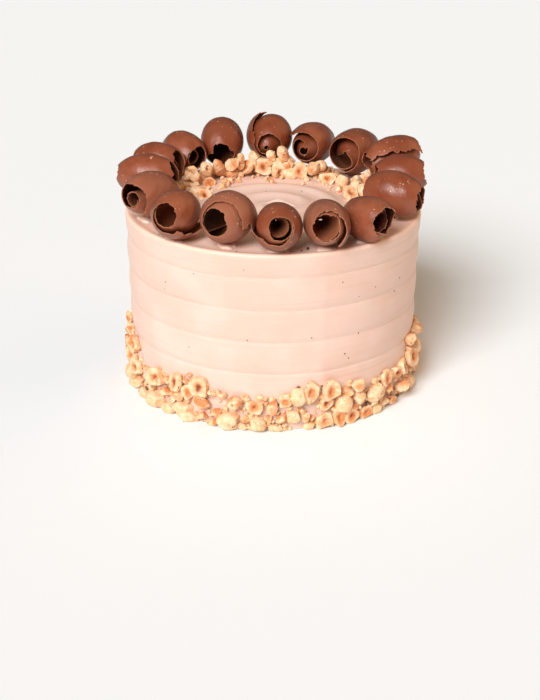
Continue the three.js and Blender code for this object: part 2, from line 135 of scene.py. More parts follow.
for number, (heading, height, width, strength, colour) in enumerate(SOFT_LIGHTS):
    light_data = bpy.data.lights.new(f"soft_light_{number}", "SUN")
    light_data.angle = math.radians(width)
    light_data.energy = strength
    light_data.color = colour
    light = bpy.data.objects.new(f"soft_light_{number}", light_data)
    light.matrix_world = direction(heading, height).to_track_quat("Z", "Y").to_matrix().to_4x4()
    bpy.context.scene.collection.objects.link(light)

# Iced body
# A tall stack of sponge layers that doesn't show, covered all over in smooth chocolate hazelnut
# buttercream. A comb drew the shallow bands round the side, the rim was cut off crisp, and a palette
# knife spread the top in a low spiral.
RIM_RADIUS = 82.0
FOOT_RADIUS = 80.3
CAKE_HEIGHT = 99.5
RIM_ROUND = 2.4
TOP_DROP = 0.7
BAND_PITCH = 18.0
BAND_DEPTH = 1.0
FIRST_GROOVE = 14.6
SWIRL_PITCH = 16.0
SWIRL_DEPTH = 0.75
SWIRL_RADIUS = 50.0
SWIRL_CENTRE = (2.0, 3.0)
ROUND_STEPS = 400
ROWS_PER_BAND = 20
ROW_CROWDING = 0.09
RIM_STEPS = 9
TOP_STEPS = 88
# Faults of hand work, in millimetres: the step from band to band, the ridge and the line that the comb
# left at each groove, the ridge and dip where it was lifted, and how the cut rim stands out and draws in
BAND_STEP = 0.22
COMB_RIDGE, COMB_LINE = 0.08, 0.14
SEAM_ANGLE = math.radians(-71)
SEAM_RIDGE, SEAM_DIP = 0.16, 0.12
RIM_OUT, RIM_IN, RIM_WIDTH = 0.25, 1.5, 1.6
LIP_PLACE = (4.0, 6.5)
LIP_HEIGHT, LIP_DIP, LIP_REACH = 1.5, 0.9, 8.0


def straight_side(z):
    """Radius of the side at a height before it was combed."""
    return FOOT_RADIUS + (RIM_RADIUS - FOOT_RADIUS) * z / CAKE_HEIGHT


def side_radius(z):
    """Radius of the evenly combed side at a height."""
    wave = abs(math.sin(math.pi * (z - FIRST_GROOVE) / BAND_PITCH))
    return straight_side(z) - BAND_DEPTH * (1 - wave)


def waviness(x, y, z, size, seed):
    """Smooth unevenness between about -1 and 1."""
    return noise.noise(Vector((x / size + seed, y / size - seed, z / size + 2 * seed)))


def smooth_step(low, high, value):
    """Rises smoothly from 0 to 1 as a value goes from low to high."""
    share = min(1.0, max(0.0, (value - low) / (high - low)))
    return share * share * (3 - 2 * share)


def bell(value, middle, width):
    """A bump 1 high at its middle that dies away over its width on both sides."""
    return math.exp(-(((value - middle) / width) ** 2))


def hand_combed(z, angle):
    """Radius of the side with the small faults of hand work: bands that wander, fade and step."""
    x, y = RIM_RADIUS * math.cos(angle), RIM_RADIUS * math.sin(angle)
    wander = 0.7 * waviness(x, y, 0, 60, 3) + 0.35 * waviness(x, y, z, 22, 5)
    place = (z + wander - FIRST_GROOVE) / BAND_PITCH
    wave = abs(math.sin(math.pi * place))
    depth = BAND_DEPTH * (0.85 + 0.45 * waviness(x, y, z, 38, 9))
    into_band = place - math.floor(place)
    step = BAND_STEP * (0.5 - into_band)
    above = (place - round(place)) * BAND_PITCH
    line = COMB_RIDGE * bell(above, -1.7, 1.0) - COMB_LINE * bell(above, 0.3, 0.8)
    line *= 1 + 0.7 * waviness(x, y, z, 16, 6)
    turn = math.remainder(angle - SEAM_ANGLE, 2 * math.pi) * RIM_RADIUS
    seam = SEAM_RIDGE * bell(turn, 0, 2.6) - SEAM_DIP * bell(turn, 5, 3.4)
    fade = smooth_step(0, 20, z) * smooth_step(CAKE_HEIGHT, 78, z)
    uneven = 0.22 * waviness(x, y, z, 26, 1) + 0.08 * waviness(x, y, 3 * z, 9, 2)
    return straight_side(z) - depth * (1 - wave ** 0.8) + step + line + seam * fade + uneven


def spread_top(x, y):
    """Height of the top: a low spiral with soft crests, and a small lip where the knife lifted off."""
    dx, dy = x - SWIRL_CENTRE[0], y - SWIRL_CENTRE[1]
    reach = math.hypot(dx, dy)
    drift = 0.05 * waviness(x, y, 0, 24, 4)
    phase = 2 * math.pi * (reach / SWIRL_PITCH + drift) - math.atan2(dy, dx)
    crest = 0.5 * (1 + math.cos(phase))
    ridge = crest ** 1.6 * 2 - 1
    fade = min(1.0, max(0.0, (SWIRL_RADIUS - reach) / 6)) * min(1.0, reach / 6)
    lip_x, lip_y = x - LIP_PLACE[0], y - LIP_PLACE[1]
    along_lip = bell(lip_x, 0, LIP_REACH)
    lip = LIP_HEIGHT * math.exp(-((lip_y + 0.06 * lip_x * lip_x - 1) ** 2) / 1.6) * along_lip
    dip = -LIP_DIP * bell(lip_y, -3.5, 3.2) * along_lip
    uneven = 0.16 * waviness(x, y, 0, 19, 7) + 0.05 * waviness(x, 3 * y, 0, 7, 8)
    return CAKE_HEIGHT - TOP_DROP + SWIRL_DEPTH * fade * ridge + lip + dip + uneven


def rim_waver(angle):
    """The large waves of the cut rim at an angle."""
    return 0.35 * waviness(RIM_RADIUS * math.cos(angle), RIM_RADIUS * math.sin(angle), 0, 20, 11)


side_top = CAKE_HEIGHT - RIM_ROUND
groove_rows = []
band = -1
while FIRST_GROOVE + band * BAND_PITCH < side_top:
    for row in range(ROWS_PER_BAND):
        share = row / ROWS_PER_BAND
        eased = share - ROW_CROWDING * math.sin(2 * math.pi * share)
        z = FIRST_GROOVE + (band + eased) * BAND_PITCH
        if 0 < z < side_top - 0.4:
            groove_rows.append(z)
    band += 1
side_rows = [0.0] + groove_rows

body_points = []
angles = [2 * math.pi * k / ROUND_STEPS for k in range(ROUND_STEPS)]
for z in side_rows:
    for angle in angles:
        radius = hand_combed(z, angle)
        body_points.append((radius * math.cos(angle), radius * math.sin(angle), z))
for step in range(RIM_STEPS):
    bend = math.pi / 2 * step / (RIM_STEPS - 1)
    for angle in angles:
        x, y = math.cos(angle), math.sin(angle)
        edge = rim_waver(angle) + 0.15 * waviness(RIM_RADIUS * x, RIM_RADIUS * y, 0, 6, 12)
        radius = hand_combed(side_top, angle) + RIM_OUT - RIM_IN * (1 - math.cos(bend)) + 0.3 * edge
        z = side_top + (RIM_ROUND + 0.5 * edge) * math.sin(bend)
        body_points.append((radius * x, radius * y, z))
rim_inner = RIM_RADIUS - RIM_WIDTH
for step in range(1, TOP_STEPS):
    reach = rim_inner * (1 - step / TOP_STEPS)
    for angle in angles:
        x, y = reach * math.cos(angle), reach * math.sin(angle)
        inward = rim_inner - reach
        rim = (TOP_DROP + 0.5 * rim_waver(angle)) * bell(inward, 0, 2.6) - 0.25 * bell(inward, 6, 4)
        body_points.append((x, y, spread_top(x, y) + rim))
body_points.append((0, 0, spread_top(0, 0)))
body_points.append((0, 0, 0))
top_pole, base_pole = len(body_points) - 2, len(body_points) - 1
ring_count = len(side_rows) + RIM_STEPS + TOP_STEPS - 1
body_faces = []
for ring in range(ring_count - 1):
    for k in range(ROUND_STEPS):
        after = (k + 1) % ROUND_STEPS
        low, high = ring * ROUND_STEPS, (ring + 1) * ROUND_STEPS
        body_faces.append((low + k, low + after, high + after, high + k))
for k in range(ROUND_STEPS):
    after = (k + 1) % ROUND_STEPS
    last = (ring_count - 1) * ROUND_STEPS
    body_faces.append((last + k, last + after, top_pole))
    body_faces.append((after, k, base_pole))
icing = new_object("buttercream_icing", new_mesh("buttercream_icing", body_points, body_faces))
icing.data.shade_smooth()


def add_node(tree, kind, inputs, **settings):
    """A node with its settings; its inputs are joined to sockets or take plain values."""
    node = tree.nodes.new(kind)
    for name, value in settings.items():
        setattr(node, name, value)
    for name, value in inputs.items():
        if isinstance(value, bpy.types.NodeSocket):
            tree.links.new(value, node.inputs[name])
        else:
            node.inputs[name].default_value = value
    return node


def calculate(tree, operation, *values):
    """One math node on numbers or sockets."""
    return add_node(tree, "ShaderNodeMath", dict(enumerate(values)), operation=operation).outputs[0]


def noise_value(tree, where, scale, detail=2.0, roughness=0.5):
    """Noise between about 0 and 1 at a place given by a vector socket."""
    inputs = {"Vector": where, "Scale": scale, "Detail": detail, "Roughness": roughness}
    return add_node(tree, "ShaderNodeTexNoise", inputs).outputs["Fac"]


def ramp(tree, value, low, high):
    """Rises from 0 to 1 as a value goes from low to high."""
    inputs = {"Value": value, "From Min": low, "From Max": high}
    return add_node(tree, "ShaderNodeMapRange", inputs, interpolation_type="SMOOTHSTEP").outputs["Result"]


def blend_colours(tree, share, under, over, strength=1.0):
    """One colour over another by a share, up to a greatest strength."""
    if strength < 1.0:
        share = calculate(tree, "MULTIPLY", share, strength)
    inputs = {"Factor": share}
    for place, colour in ((6, under), (7, over)):
        inputs[place] = colour if isinstance(colour, bpy.types.NodeSocket) else (*colour, 1.0)
    return add_node(tree, "ShaderNodeMix", inputs, data_type="RGBA").outputs[2]


def object_place(tree, stretch=(1, 1, 1)):
    """Object coordinates, stretched."""
    place = add_node(tree, "ShaderNodeTexCoord", {}).outputs["Object"]
    return add_node(tree, "ShaderNodeMapping", {"Vector": place, "Scale": stretch}).outputs["Vector"]


def bump(tree, shader, height, distance, strength=1.0):
    """Fine relief on a shader from a height socket, its distance in metres."""
    node = add_node(tree, "ShaderNodeBump", {"Strength": strength, "Distance": distance, "Height": height})
    tree.links.new(node.outputs["Normal"], shader.inputs["Normal"])


def paint(tree, shader, colour, roughness):
    """Colour and roughness of a shader from two sockets."""
    tree.links.new(colour, shader.inputs["Base Color"])
    tree.links.new(roughness, shader.inputs["Roughness"])


def let_light_in(shader, weight, radius, scale):
    """Light that goes a little way into a soft surface: share, reach of each colour, scale in metres."""
    shader.inputs["Subsurface Weight"].default_value = weight
    shader.inputs["Subsurface Radius"].default_value = radius
    shader.inputs["Subsurface Scale"].default_value = scale


CREAM = (0.800, 0.545, 0.430)
CREAM_DEEP = (0.700, 0.420, 0.305)
CREAM_PALE = (0.840, 0.605, 0.495)
# Painted light: a paler cream for the ledge round the top, where the curls shade it
CREAM_LEDGE_PAINTED_LIGHT = (0.985, 0.655, 0.500)
LEDGE_INNER, LEDGE_OUTER = 60.0, 70.0
icing_material, tree, shader = new_material("buttercream")
mottled = noise_value(tree, object_place(tree), 35, 3)
streaks = noise_value(tree, object_place(tree, (12, 12, 900)), 1.0, 3)
pores = noise_value(tree, object_place(tree), 2200, 2)
cream = blend_colours(tree, ramp(tree, mottled, 0.35, 0.7), CREAM, CREAM_PALE)
cream = blend_colours(tree, ramp(tree, streaks, 0.55, 0.75), cream, CREAM_DEEP, 0.35)
# Painted light: the ledge round the top is painted paler, to lift the shade that the curls cast on it
across, back, height = add_node(tree, "ShaderNodeSeparateXYZ", {0: object_place(tree)}).outputs
back_squared = calculate(tree, "MULTIPLY", back, back)
reach = calculate(tree, "SQRT", calculate(tree, "MULTIPLY_ADD", across, across, back_squared))
on_ledge = calculate(tree, "MULTIPLY", ramp(tree, reach, LEDGE_INNER * MM, LEDGE_OUTER * MM),
                     ramp(tree, height, (CAKE_HEIGHT - 2) * MM, (CAKE_HEIGHT - 0.5) * MM))
cream = blend_colours(tree, on_ledge, cream, CREAM_LEDGE_PAINTED_LIGHT)
paint(tree, shader, cream, calculate(tree, "MULTIPLY_ADD", mottled, 0.2, 0.42))
let_light_in(shader, 0.35, (1.0, 0.6, 0.4), 0.003)
relief = calculate(tree, "MULTIPLY_ADD", streaks, 0.6, calculate(tree, "MULTIPLY", pores, 0.12))
bump(tree, shader, relief, 0.00025)
icing.data.materials.append(icing_material)
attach(icing, "root")
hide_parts("iced_cake")

# Places of the curls
# Sixteen rolled curls of milk chocolate stand in a ring on the rim. The nuts are fitted round them, so
# their places come first.
# Ring angle, ring radius, height, heading and pitch of one mouth, length, radius, mouth radius, turns,
# angle of the loose edge, way the sheet runs in, lift of the edge, turns that are lifted with it, slant of
# the edge in turns over half the length, depth of the tears in millimetres
CURLS = [
    (-160, 70.5, 113.2, -127, 7, 31, 12.9, 7.8, 1.3, 292, 1, 0.8, 0.25, 0.03, 1.2),
    (-131.6, 74.8, 113.2, -112, 7, 28, 13.1, 7.8, 1.45, 330, -1, 2.4, 0.42, 0.02, 0.9),
    (-109.6, 69.5, 113.7, -114, 8, 28, 14.3, 8.6, 1.4, 345, 1, 1.3, 0.2, 0.02, 1.2),
    (-88, 73.5, 112.3, -87, 11, 29, 13.0, 7.6, 1.45, 192, 1, 1.0, 0.25, 0.03, 1.0),
    (-69, 73.6, 112.3, -88, 10, 29, 12.5, 9.0, 1.4, 300, 1, 1.5, 0.35, 0.02, 1.8),
    (-49.4, 76.2, 111.6, -57, 7, 29, 12.0, 8.0, 1.2, 250, -1, 0.6, 0.2, 0.02, 2.0),
    (-18, 68.2, 112.6, -24, -4, 31, 13.2, 7.2, 1.4, 320, 1, 0.5, 0.2, 0.02, 1.6),
    (11, 73.0, 112.6, 4, 2, 28, 12.5, 7.4, 1.3, 320, 1, 0.6, 0.2, 0.03, 1.4),
    (31, 80.2, 115.6, -160, -12, 32, 12.2, 7.0, 1.4, 22, 1, 1.8, 0.25, 0.02, 2.0),
    (50.8, 75.8, 114.4, -118, 6, 30, 13.9, 10.8, 1.3, 250, 1, 0.5, 0.2, 0.02, 0.8),
    (71.4, 75.0, 114.9, -112, 5, 29, 12.8, 9.2, 1.35, 150, -1, 1.4, 0.25, 0.03, 0.8),
    (91.4, 75.0, 118.3, -94, -7, 29, 14.4, 8.8, 1.45, 132, 1, 0.8, 0.25, 0.07, 0.6),
    (114.4, 76.0, 116.4, -90, -26, 28, 13.8, 8.4, 1.15, 250, 1, 0.6, 0.2, 0.03, 2.4),
    (133.0, 76.8, 113.9, -58, -7, 29, 12.1, 6.9, 1.5, 200, -1, 0.7, 0.2, 0.02, 1.2),
    (151.6, 75.8, 113.6, -25, 0, 28, 11.7, 6.7, 1.4, 280, 1, 0.8, 0.2, 0.02, 2.0),
    (170, 71.8, 112.9, -13, 2, 33, 12.5, 6.6, 1.4, 300, -1, 0.8, 0.2, 0.03, 2.0),
]


def curl_frame(row):
    """Middle and axis of a curl, in millimetres."""
    angle, ring, height, heading, pitch = row[:5]
    turn = math.radians(angle)
    return Vector((ring * math.cos(turn), ring * math.sin(turn), height)), direction(heading, pitch)


# Chopped hazelnuts round the foot
# Blanched hazelnuts, lightly roasted and chopped by hand into halves, chunks and crumbs. They were
# pressed into the soft icing round the foot as an uneven border and hold by the icing alone.
NUT_SEED = 20417
NUT_SIZE = 10.8
NUT_SHARES = (0.78, 1.14)
NUT_LEAN = 0.75
HALF_SHARE = 0.48
ROUND_SHARE = 0.22
BORDER_NUTS = 29
BORDER_ROWS = (4.8, 13.8, 22.8, 31.8)
BORDER_STAND = 2.2
ROW_WANDER = 3.0
ROW_SHIFT = 5.0
ANGLE_WANDER = 0.35
EDGE_SHARE = 0.4
FRONT_HALF_WIDTH = 85.0
FRONT_LEAN = 0.5
FRONT_STAND = 0.28
FRONT_WIDER = 1.06
# Height of the border's upper edge every 10 degrees, from -180 degrees on
BORDER_HEIGHTS = (
    37, 40, 35, 21, 24, 26, 29, 22, 21, 20, 28, 26, 26, 21, 22, 22, 29, 36,
    31, 25, 23, 27, 30, 24, 20, 25, 29, 31, 26, 22, 24, 29, 33, 27, 23, 30,
)
# Nuts that show in the front: angle, height of the middle, width, height, kind (0 half, 1 round side
# out, 2 chunk, 3 curved sliver), tilt, how orange it roasted, how brown its hollow is
FRONT_NUTS = [
    (-174, 35, 7, 7, 2, 20, 0.5, 0.6), (-168.4, 30, 9, 6.6, 2, 0, 0.8, 0.9),
    (-170.8, 22.3, 9, 6.8, 2, 0, 0.5, 0.2), (-159, 27.6, 10, 9.6, 0, 30, 0.7, 0.6),
    (-158.3, 13.6, 12, 10.4, 0, 0, 0.1, 0.8), (-170.6, 13, 10, 6.6, 0, 0, 0.3, 0.6),
    (-169, 4.2, 11, 8, 1, 0, 0.0, 0.1), (-159.5, 3.6, 12.5, 7.6, 1, 10, 0.0, 0.0),
    (-153.9, 8.6, 8, 5.4, 2, 0, 0.6, 0.2), (-150, 2.6, 10.5, 6, 1, 0, 0.0, 0.0),
    (-139.6, 18.5, 12, 11.1, 0, 70, 0.1, 0.8), (-143.4, 9.2, 8, 6, 2, 30, 0.6, 0.9),
    (-140.9, 4.2, 12.5, 10.2, 1, 0, 0.0, 0.0), (-134.4, 12.0, 8, 8.2, 2, 0, 0.5, 0.2),
    (-133.1, 2.6, 10, 6.5, 1, 0, 0.0, 0.0), (-128.6, 20.9, 11, 10.4, 0, 20, 0.2, 0.9),
    (-127.8, 12.8, 8, 7.5, 2, 20, 0.6, 0.5), (-125.8, 6.4, 12.5, 6.4, 1, 6, 0.0, 0.1),
    (-122.8, 16.4, 9, 8.2, 0, 0, 0.4, 0.3), (-123, 2.2, 11.5, 7.6, 1, 0, 0.0, 0.0),
    (-117.6, 22, 11, 12.4, 0, 80, 0.1, 1.0), (-117.3, 12.8, 11.5, 7.4, 3, -20, 1.0, 0.3),
    (-116.8, 5, 6.5, 6.9, 2, 0, 0.4, 0.2), (-110.6, 8.4, 7, 6, 2, 0, 0.7, 0.9),
    (-112.7, 2.4, 6.6, 5.8, 2, 10, 0.8, 0.3), (-108.9, 19, 5.4, 5, 2, 0, 0.1, 0.1),
    (-103.6, 16.2, 9.2, 11.3, 2, 0, 0.7, 0.6), (-106.1, 5, 12, 10.6, 1, 0, 0.0, 0.0),
    (-99.9, 7, 5.2, 5.4, 2, 0, 0.1, 0.1), (-101, 2.2, 7, 4.4, 2, 0, 0.2, 0.1),
    (-96.6, 14.4, 10.1, 9.1, 0, -20, 0.3, 0.7), (-95.1, 4.6, 9.6, 8.4, 1, 0, 0.3, 0.1),
    (-91.4, 7.4, 5.4, 5.4, 2, 0, 0.1, 0.1), (-88.5, 2.2, 8, 4.6, 1, 0, 0.1, 0.1),
    (-89.7, 14, 6.8, 9.3, 2, 10, 1.0, 0.4), (-86.4, 8.2, 7.2, 7, 2, 30, 1.0, 0.4),
    (-85.3, 18.2, 7.4, 10.2, 0, 0, 0.3, 0.3), (-80.4, 21, 9.1, 10.7, 1, 15, 0.1, 0.1),
    (-82, 8.6, 7.6, 7.6, 1, 0, 0.0, 0.0), (-77.3, 7.8, 6.2, 6.4, 2, 0, 0.2, 0.1),
    (-75.9, 2.2, 6.6, 4.6, 1, 0, 0.1, 0.1), (-75.7, 22.8, 8.8, 11.3, 0, 0, 0.2, 0.6),
    (-68.1, 21.8, 11.4, 11.6, 0, -30, 0.2, 0.5), (-69.5, 14.4, 8.5, 7.6, 0, 0, 0.3, 0.9),
    (-70.1, 5, 9.8, 9.6, 0, 0, 0.3, 0.7), (-64, 4.8, 8, 9.2, 0, 20, 0.5, 0.4),
    (-62.3, 12.6, 10.2, 11.5, 1, -20, 0.1, 0.1), (-60.5, 19, 7.4, 5.9, 2, 0, 0.1, 0.0),
    (-56.1, 21.5, 11, 7.5, 2, 10, 0.2, 0.5), (-55, 13.4, 7.9, 8.2, 1, 0, 0.0, 0.0),
    (-57.6, 8, 6.4, 5.4, 2, 0, 0.3, 0.2), (-58.8, 4.2, 9.4, 8.1, 0, 0, 0.3, 0.9),
    (-51.7, 3.6, 8.9, 7.6, 0, 0, 0.5, 0.6), (-46.8, 13, 12.2, 9.6, 1, 20, 0.4, 0.2),
    (-47.1, 7, 7.3, 5.5, 2, 0, 0.4, 0.3), (-46.2, 2.6, 8.1, 5.9, 1, 0, 0.1, 0.0),
    (-40.9, 18.4, 10, 8.4, 0, 40, 0.3, 0.8), (-38.9, 11, 7.5, 7.1, 2, 0, 0.6, 0.6),
    (-41, 4.8, 8, 6, 2, 0, 0.4, 0.2), (-36.6, 2.8, 8.4, 5.6, 2, 0, 0.4, 0.3),
    (-33.4, 18, 9.3, 8, 0, -30, 0.4, 0.9), (-28.2, 18.6, 9, 10, 0, 60, 0.2, 0.3),
    (-29.1, 8, 12, 9.4, 2, 0, 0.2, 0.7), (-20.2, 20.6, 12.4, 11.5, 0, 0, 0.3, 1.0),
    (-20.4, 31.2, 10, 7.8, 2, 0, 0.6, 0.8), (-19, 4, 10, 7, 1, 0, 0.1, 0.1),
    (-13, 11.4, 10.5, 9, 0, 0, 0.3, 0.6), (-9.4, 20.4, 10.5, 8.6, 1, 0, 0.2, 0.1),
    (-9, 30, 8.6, 8, 2, 0, 0.5, 0.6),
]
SHAPE_SEED = 77
TONE_SEED = 311
SMALL_SEED = 61
BORDER_SMALL = 1040
BORDER_CRUMBS = 832
SMALL_SIZES = (2.6, 5.4)
CRUMB_SIZES = (0.7, 2.0)
# Small pieces whose brown draw is above this are bits of skin and take the browner value
SKIN_FROM = 0.9
SKIN_BROWN = 2.0
# Half length, half width and half height of a small piece as shares of its size; how many of the small
# pieces are shaped like crumbs
SMALL_SHAPE = (0.5, 0.42, 0.5)
CRUMB_SHAPED = 0.4
# Kinds of piece: how many different ones there are of each
HALF_KERNELS = 8
ROUND_KERNELS = 5
CHUNK_KERNELS = 9
SLIVER_KERNELS = 2
CRUMB_KERNELS = 6
KERNEL_STEPS = 18
KERNEL_SHARP_ANGLE = math.radians(38)
# Ring of each turned profile from which on the surface is bare flesh; a round one has none
HALF_FLESH, SLIVER_FLESH, NO_FLESH = 6, 3, 99
HALF_CHIPS, ROUND_CHIPS = 7, 8
# Chunks and crumbs: fineness of the lump, how many times it was broken, how near its middle
CHUNK_BREAKS, CRUMB_BREAKS = (2, 7, 0.40), (1, 3, 0.35)
# Turned shapes, radius and height from the back to the front; a half has a dished cut face
HALF_PROFILE = (
    (0, -0.84), (0.38, -0.78), (0.72, -0.56), (0.94, -0.22), (1.0, 0.04), (0.985, 0.15), (0.95, 0.19),
    (0.78, 0.19), (0.56, 0.17), (0.38, 0.13), (0.25, 0.06), (0.14, -0.05), (0, -0.1),
)
ROUND_PROFILE = (
    (0, -0.8), (0.55, -0.72), (0.9, -0.42), (1.0, -0.1), (0.95, 0.16), (0.78, 0.38), (0.5, 0.55),
    (0.22, 0.62), (0, 0.63),
)
SLIVER_PROFILE = (
    (0, -0.3), (0.6, -0.26), (0.95, -0.1), (1.0, 0.08), (0.85, 0.26), (0.5, 0.36), (0, 0.38),
)


def turned_kernel(profile, draw, cut_from):
    """A turned kernel with an uneven, slightly pointed outline; rings from cut_from on are flesh."""
    shape = bmesh.new()
    cut = shape.faces.layers.float.new("cut")
    heart = shape.verts.layers.float.new("heart")
    point_way, oval_way = 2 * math.pi * draw(), 2 * math.pi * draw()
    point, oval, tilt, seed = 0.1 * draw(), 0.04 + 0.1 * draw(), 0.16 * (draw() - 0.5), 50 * draw()
    slit = 0.4 + 0.5 * draw()
    rings = []
    for number, (radius, height) in enumerate(profile):
        ring = []
        for k in range(KERNEL_STEPS if radius else 1):
            angle = 2 * math.pi * k / KERNEL_STEPS
            x, y = math.cos(angle), math.sin(angle)
            outline = 1 + point * max(0, math.cos(angle - point_way)) ** 3
            outline += oval * math.cos(2 * (angle - oval_way))
            outline += 0.07 * waviness(x, y, height, 0.7, seed)
            inner = 1.0
            if number > cut_from and radius < 0.5:
                inner = 1 - slit * abs(math.sin(angle - oval_way)) * (0.5 - radius)
            lift = tilt * x * radius + 0.07 * waviness(x * radius, y * radius, 0.3 * height, 0.45, seed + 9)
            place = (radius * inner * outline * x, radius * inner * outline * y, height + lift)
            corner = shape.verts.new(place)
            corner[heart] = max(0.0, 1 - radius / 0.72) if number > cut_from else 0.0
            ring.append(corner)
        rings.append(ring)
    for number, (low, high) in enumerate(zip(rings, rings[1:])):
        for k in range(KERNEL_STEPS):
            after = (k + 1) % KERNEL_STEPS
            corners = [low[k % len(low)], low[after % len(low)], high[after % len(high)], high[k % len(high)]]
            corners = [corner for place, corner in enumerate(corners) if corner not in corners[:place]]
            face = shape.faces.new(corners)
            face[cut] = 1.0 if number >= cut_from else 0.0
    return shape


def break_off(shape, point, normal):
    """Breaks a kernel along a plane and closes it with a face of bare flesh."""
    cut = shape.faces.layers.float["cut"]
    whole = shape.verts[:] + shape.edges[:] + shape.faces[:]
    opened = bmesh.ops.bisect_plane(shape, geom=whole, plane_co=point, plane_no=normal, clear_outer=True)
    rim = [part for part in opened["geom_cut"] if isinstance(part, bmesh.types.BMEdge)]
    if rim:
        filled = bmesh.ops.triangle_fill(shape, edges=rim, use_beauty=True)
        for part in filled["geom"]:
            if isinstance(part, bmesh.types.BMFace):
                part[cut] = 1.0


def broken_kernel(draw, detail, breaks, depth):
    """A rounded lump broken along a few planes, with one side roasted darker."""
    shape = bmesh.new()
    cut = shape.faces.layers.float.new("cut")
    bmesh.ops.create_icosphere(shape, subdivisions=detail, radius=1.0)
    seed = 50 * draw()
    stretch = Vector((0.95 + 0.1 * draw(), 0.75 + 0.2 * draw(), 0.8 + 0.2 * draw()))
    for corner in shape.verts:
        bulge = 1 + 0.12 * waviness(*corner.co, 0.8, seed)
        corner.co = corner.co * stretch * bulge
    for _ in range(breaks):
        normal = Vector((draw() - 0.5, draw() - 0.5, draw() - 0.35)).normalized()
        break_off(shape, normal * (depth + 0.3 * draw()), normal)
    heart = shape.verts.layers.float.new("heart")
    roasted = Vector((draw() - 0.5, draw() - 0.5, draw() * 0.6)).normalized() * 0.7
    for corner in shape.verts:
        corner[heart] = max(0.0, 0.8 - (corner.co - roasted).length)
    return shape


def chip_sides(shape, draw, count):
    """Flattens the outline of a kernel a little in a few places."""
    for _ in range(count):
        turn = 2 * math.pi * draw()
        side = Vector((math.cos(turn), math.sin(turn), 0.7 * draw() - 0.1)).normalized()
        break_off(shape, side * (0.72 + 0.23 * draw()), side)


def add_kernel(kernels, shape):
    """Stores a kernel as one of the pieces that are scattered."""
    bmesh.ops.recalc_face_normals(shape, faces=shape.faces[:])
    bmesh.ops.triangulate(shape, faces=shape.faces[:])
    name = f"kernel_{len(kernels.objects):02d}"
    mesh = bpy.data.meshes.new(name)
    shape.to_mesh(mesh)
    shape.free()
    mesh.transform(Matrix.Scale(MM, 4))
    mesh.shade_smooth()
    mesh.set_sharp_from_angle(angle=KERNEL_SHARP_ANGLE)
    kernels.objects.link(bpy.data.objects.new(name, mesh))


class SeededDraws:
    """The same chain of numbers on every run, each from 0 up to 1."""

    FACTOR, STEP, RANGE = 1664525, 1013904223, 2 ** 32

    def __init__(self, seed):
        self.state = seed

    def __call__(self):
        self.state = (self.FACTOR * self.state + self.STEP) % self.RANGE
        return self.state / self.RANGE


shape_draw = SeededDraws(SHAPE_SEED)
kernels = bpy.data.collections.new("hazelnut_pieces")
for number in range(HALF_KERNELS):
    half_kernel = turned_kernel(HALF_PROFILE, shape_draw, HALF_FLESH)
    if number % 2:
        turn = 2 * math.pi * shape_draw()
        broken_side = Vector((math.cos(turn), math.sin(turn), 0.2))
        break_off(half_kernel, broken_side * (0.45 + 0.3 * shape_draw()), broken_side)
    chip_sides(half_kernel, shape_draw, HALF_CHIPS)
    add_kernel(kernels, half_kernel)
for number in range(ROUND_KERNELS):
    round_kernel = turned_kernel(ROUND_PROFILE, shape_draw, NO_FLESH)
    chip_sides(round_kernel, shape_draw, ROUND_CHIPS)
    add_kernel(kernels, round_kernel)
for number in range(CHUNK_KERNELS):
    add_kernel(kernels, broken_kernel(shape_draw, *CHUNK_BREAKS))
for number in range(SLIVER_KERNELS):
    sliver = turned_kernel(SLIVER_PROFILE, shape_draw, SLIVER_FLESH)
    for corner in sliver.verts:
        corner.co.y = corner.co.y * 0.75 + 0.45 * corner.co.x ** 2
        corner.co.z *= 1.4
    add_kernel(kernels, sliver)
for number in range(CRUMB_KERNELS):
    add_kernel(kernels, broken_kernel(shape_draw, *CRUMB_BREAKS))
KIND_COUNTS = (HALF_KERNELS, ROUND_KERNELS, CHUNK_KERNELS, SLIVER_KERNELS, CRUMB_KERNELS)
CHUNK_KIND, CRUMB_KIND = 2, 4


def pick_kernel(kind, number):
    """One of the kernels of a kind, taking turns."""
    return sum(KIND_COUNTS[:kind]) + number % KIND_COUNTS[kind]


def kernel_turn(out, lean_way, lean, spin):
    """Turn that points a kernel's face out, leant a little and spun about it."""
    turned = Vector((0, 0, 1)).rotation_difference(out)
    turned = turned @ Quaternion((math.cos(lean_way), math.sin(lean_way), 0), lean)
    return turned @ Quaternion((0, 0, 1), spin)


def draw_nut(draw):
    """Draws that every piece of nut takes, in one fixed order."""
    size = NUT_SIZE * (NUT_SHARES[0] + (NUT_SHARES[1] - NUT_SHARES[0]) * draw())
    share = draw()
    kind = 0 if share < HALF_SHARE else 1 if share < HALF_SHARE + ROUND_SHARE else 2
    spin, lean, lean_way = 2 * math.pi * draw(), NUT_LEAN * draw(), 2 * math.pi * draw()
    return {
        "size": size, "kind": kind, "spin": spin, "lean": lean, "lean_way": lean_way,
        "long": 0.85 + 0.3 * draw(), "shift": draw() - 0.5, "rise": draw() - 0.5,
    }


def nut_scale(nut):
    """Half sizes of a nut along, across and outwards."""
    half = nut["size"] / 2
    return Vector((half * nut["long"], half / nut["long"], half))


def place_nut(nut, middle, out, tone, brown, number):
    """One scattered piece: place, turn, scale, kernel, how orange it is and how brown its hollow is."""
    turned = kernel_turn(out, nut["lean_way"], nut["lean"], nut["spin"])
    return middle, turned, nut_scale(nut), pick_kernel(nut["kind"], number), tone, brown


def border_height(angle):
    """Height of the border's upper edge at an angle."""
    place = (angle / (2 * math.pi) + 0.5) % 1 * len(BORDER_HEIGHTS)
    low = int(place) % len(BORDER_HEIGHTS)
    high = (low + 1) % len(BORDER_HEIGHTS)
    return BORDER_HEIGHTS[low] + (BORDER_HEIGHTS[high] - BORDER_HEIGHTS[low]) * (place % 1)


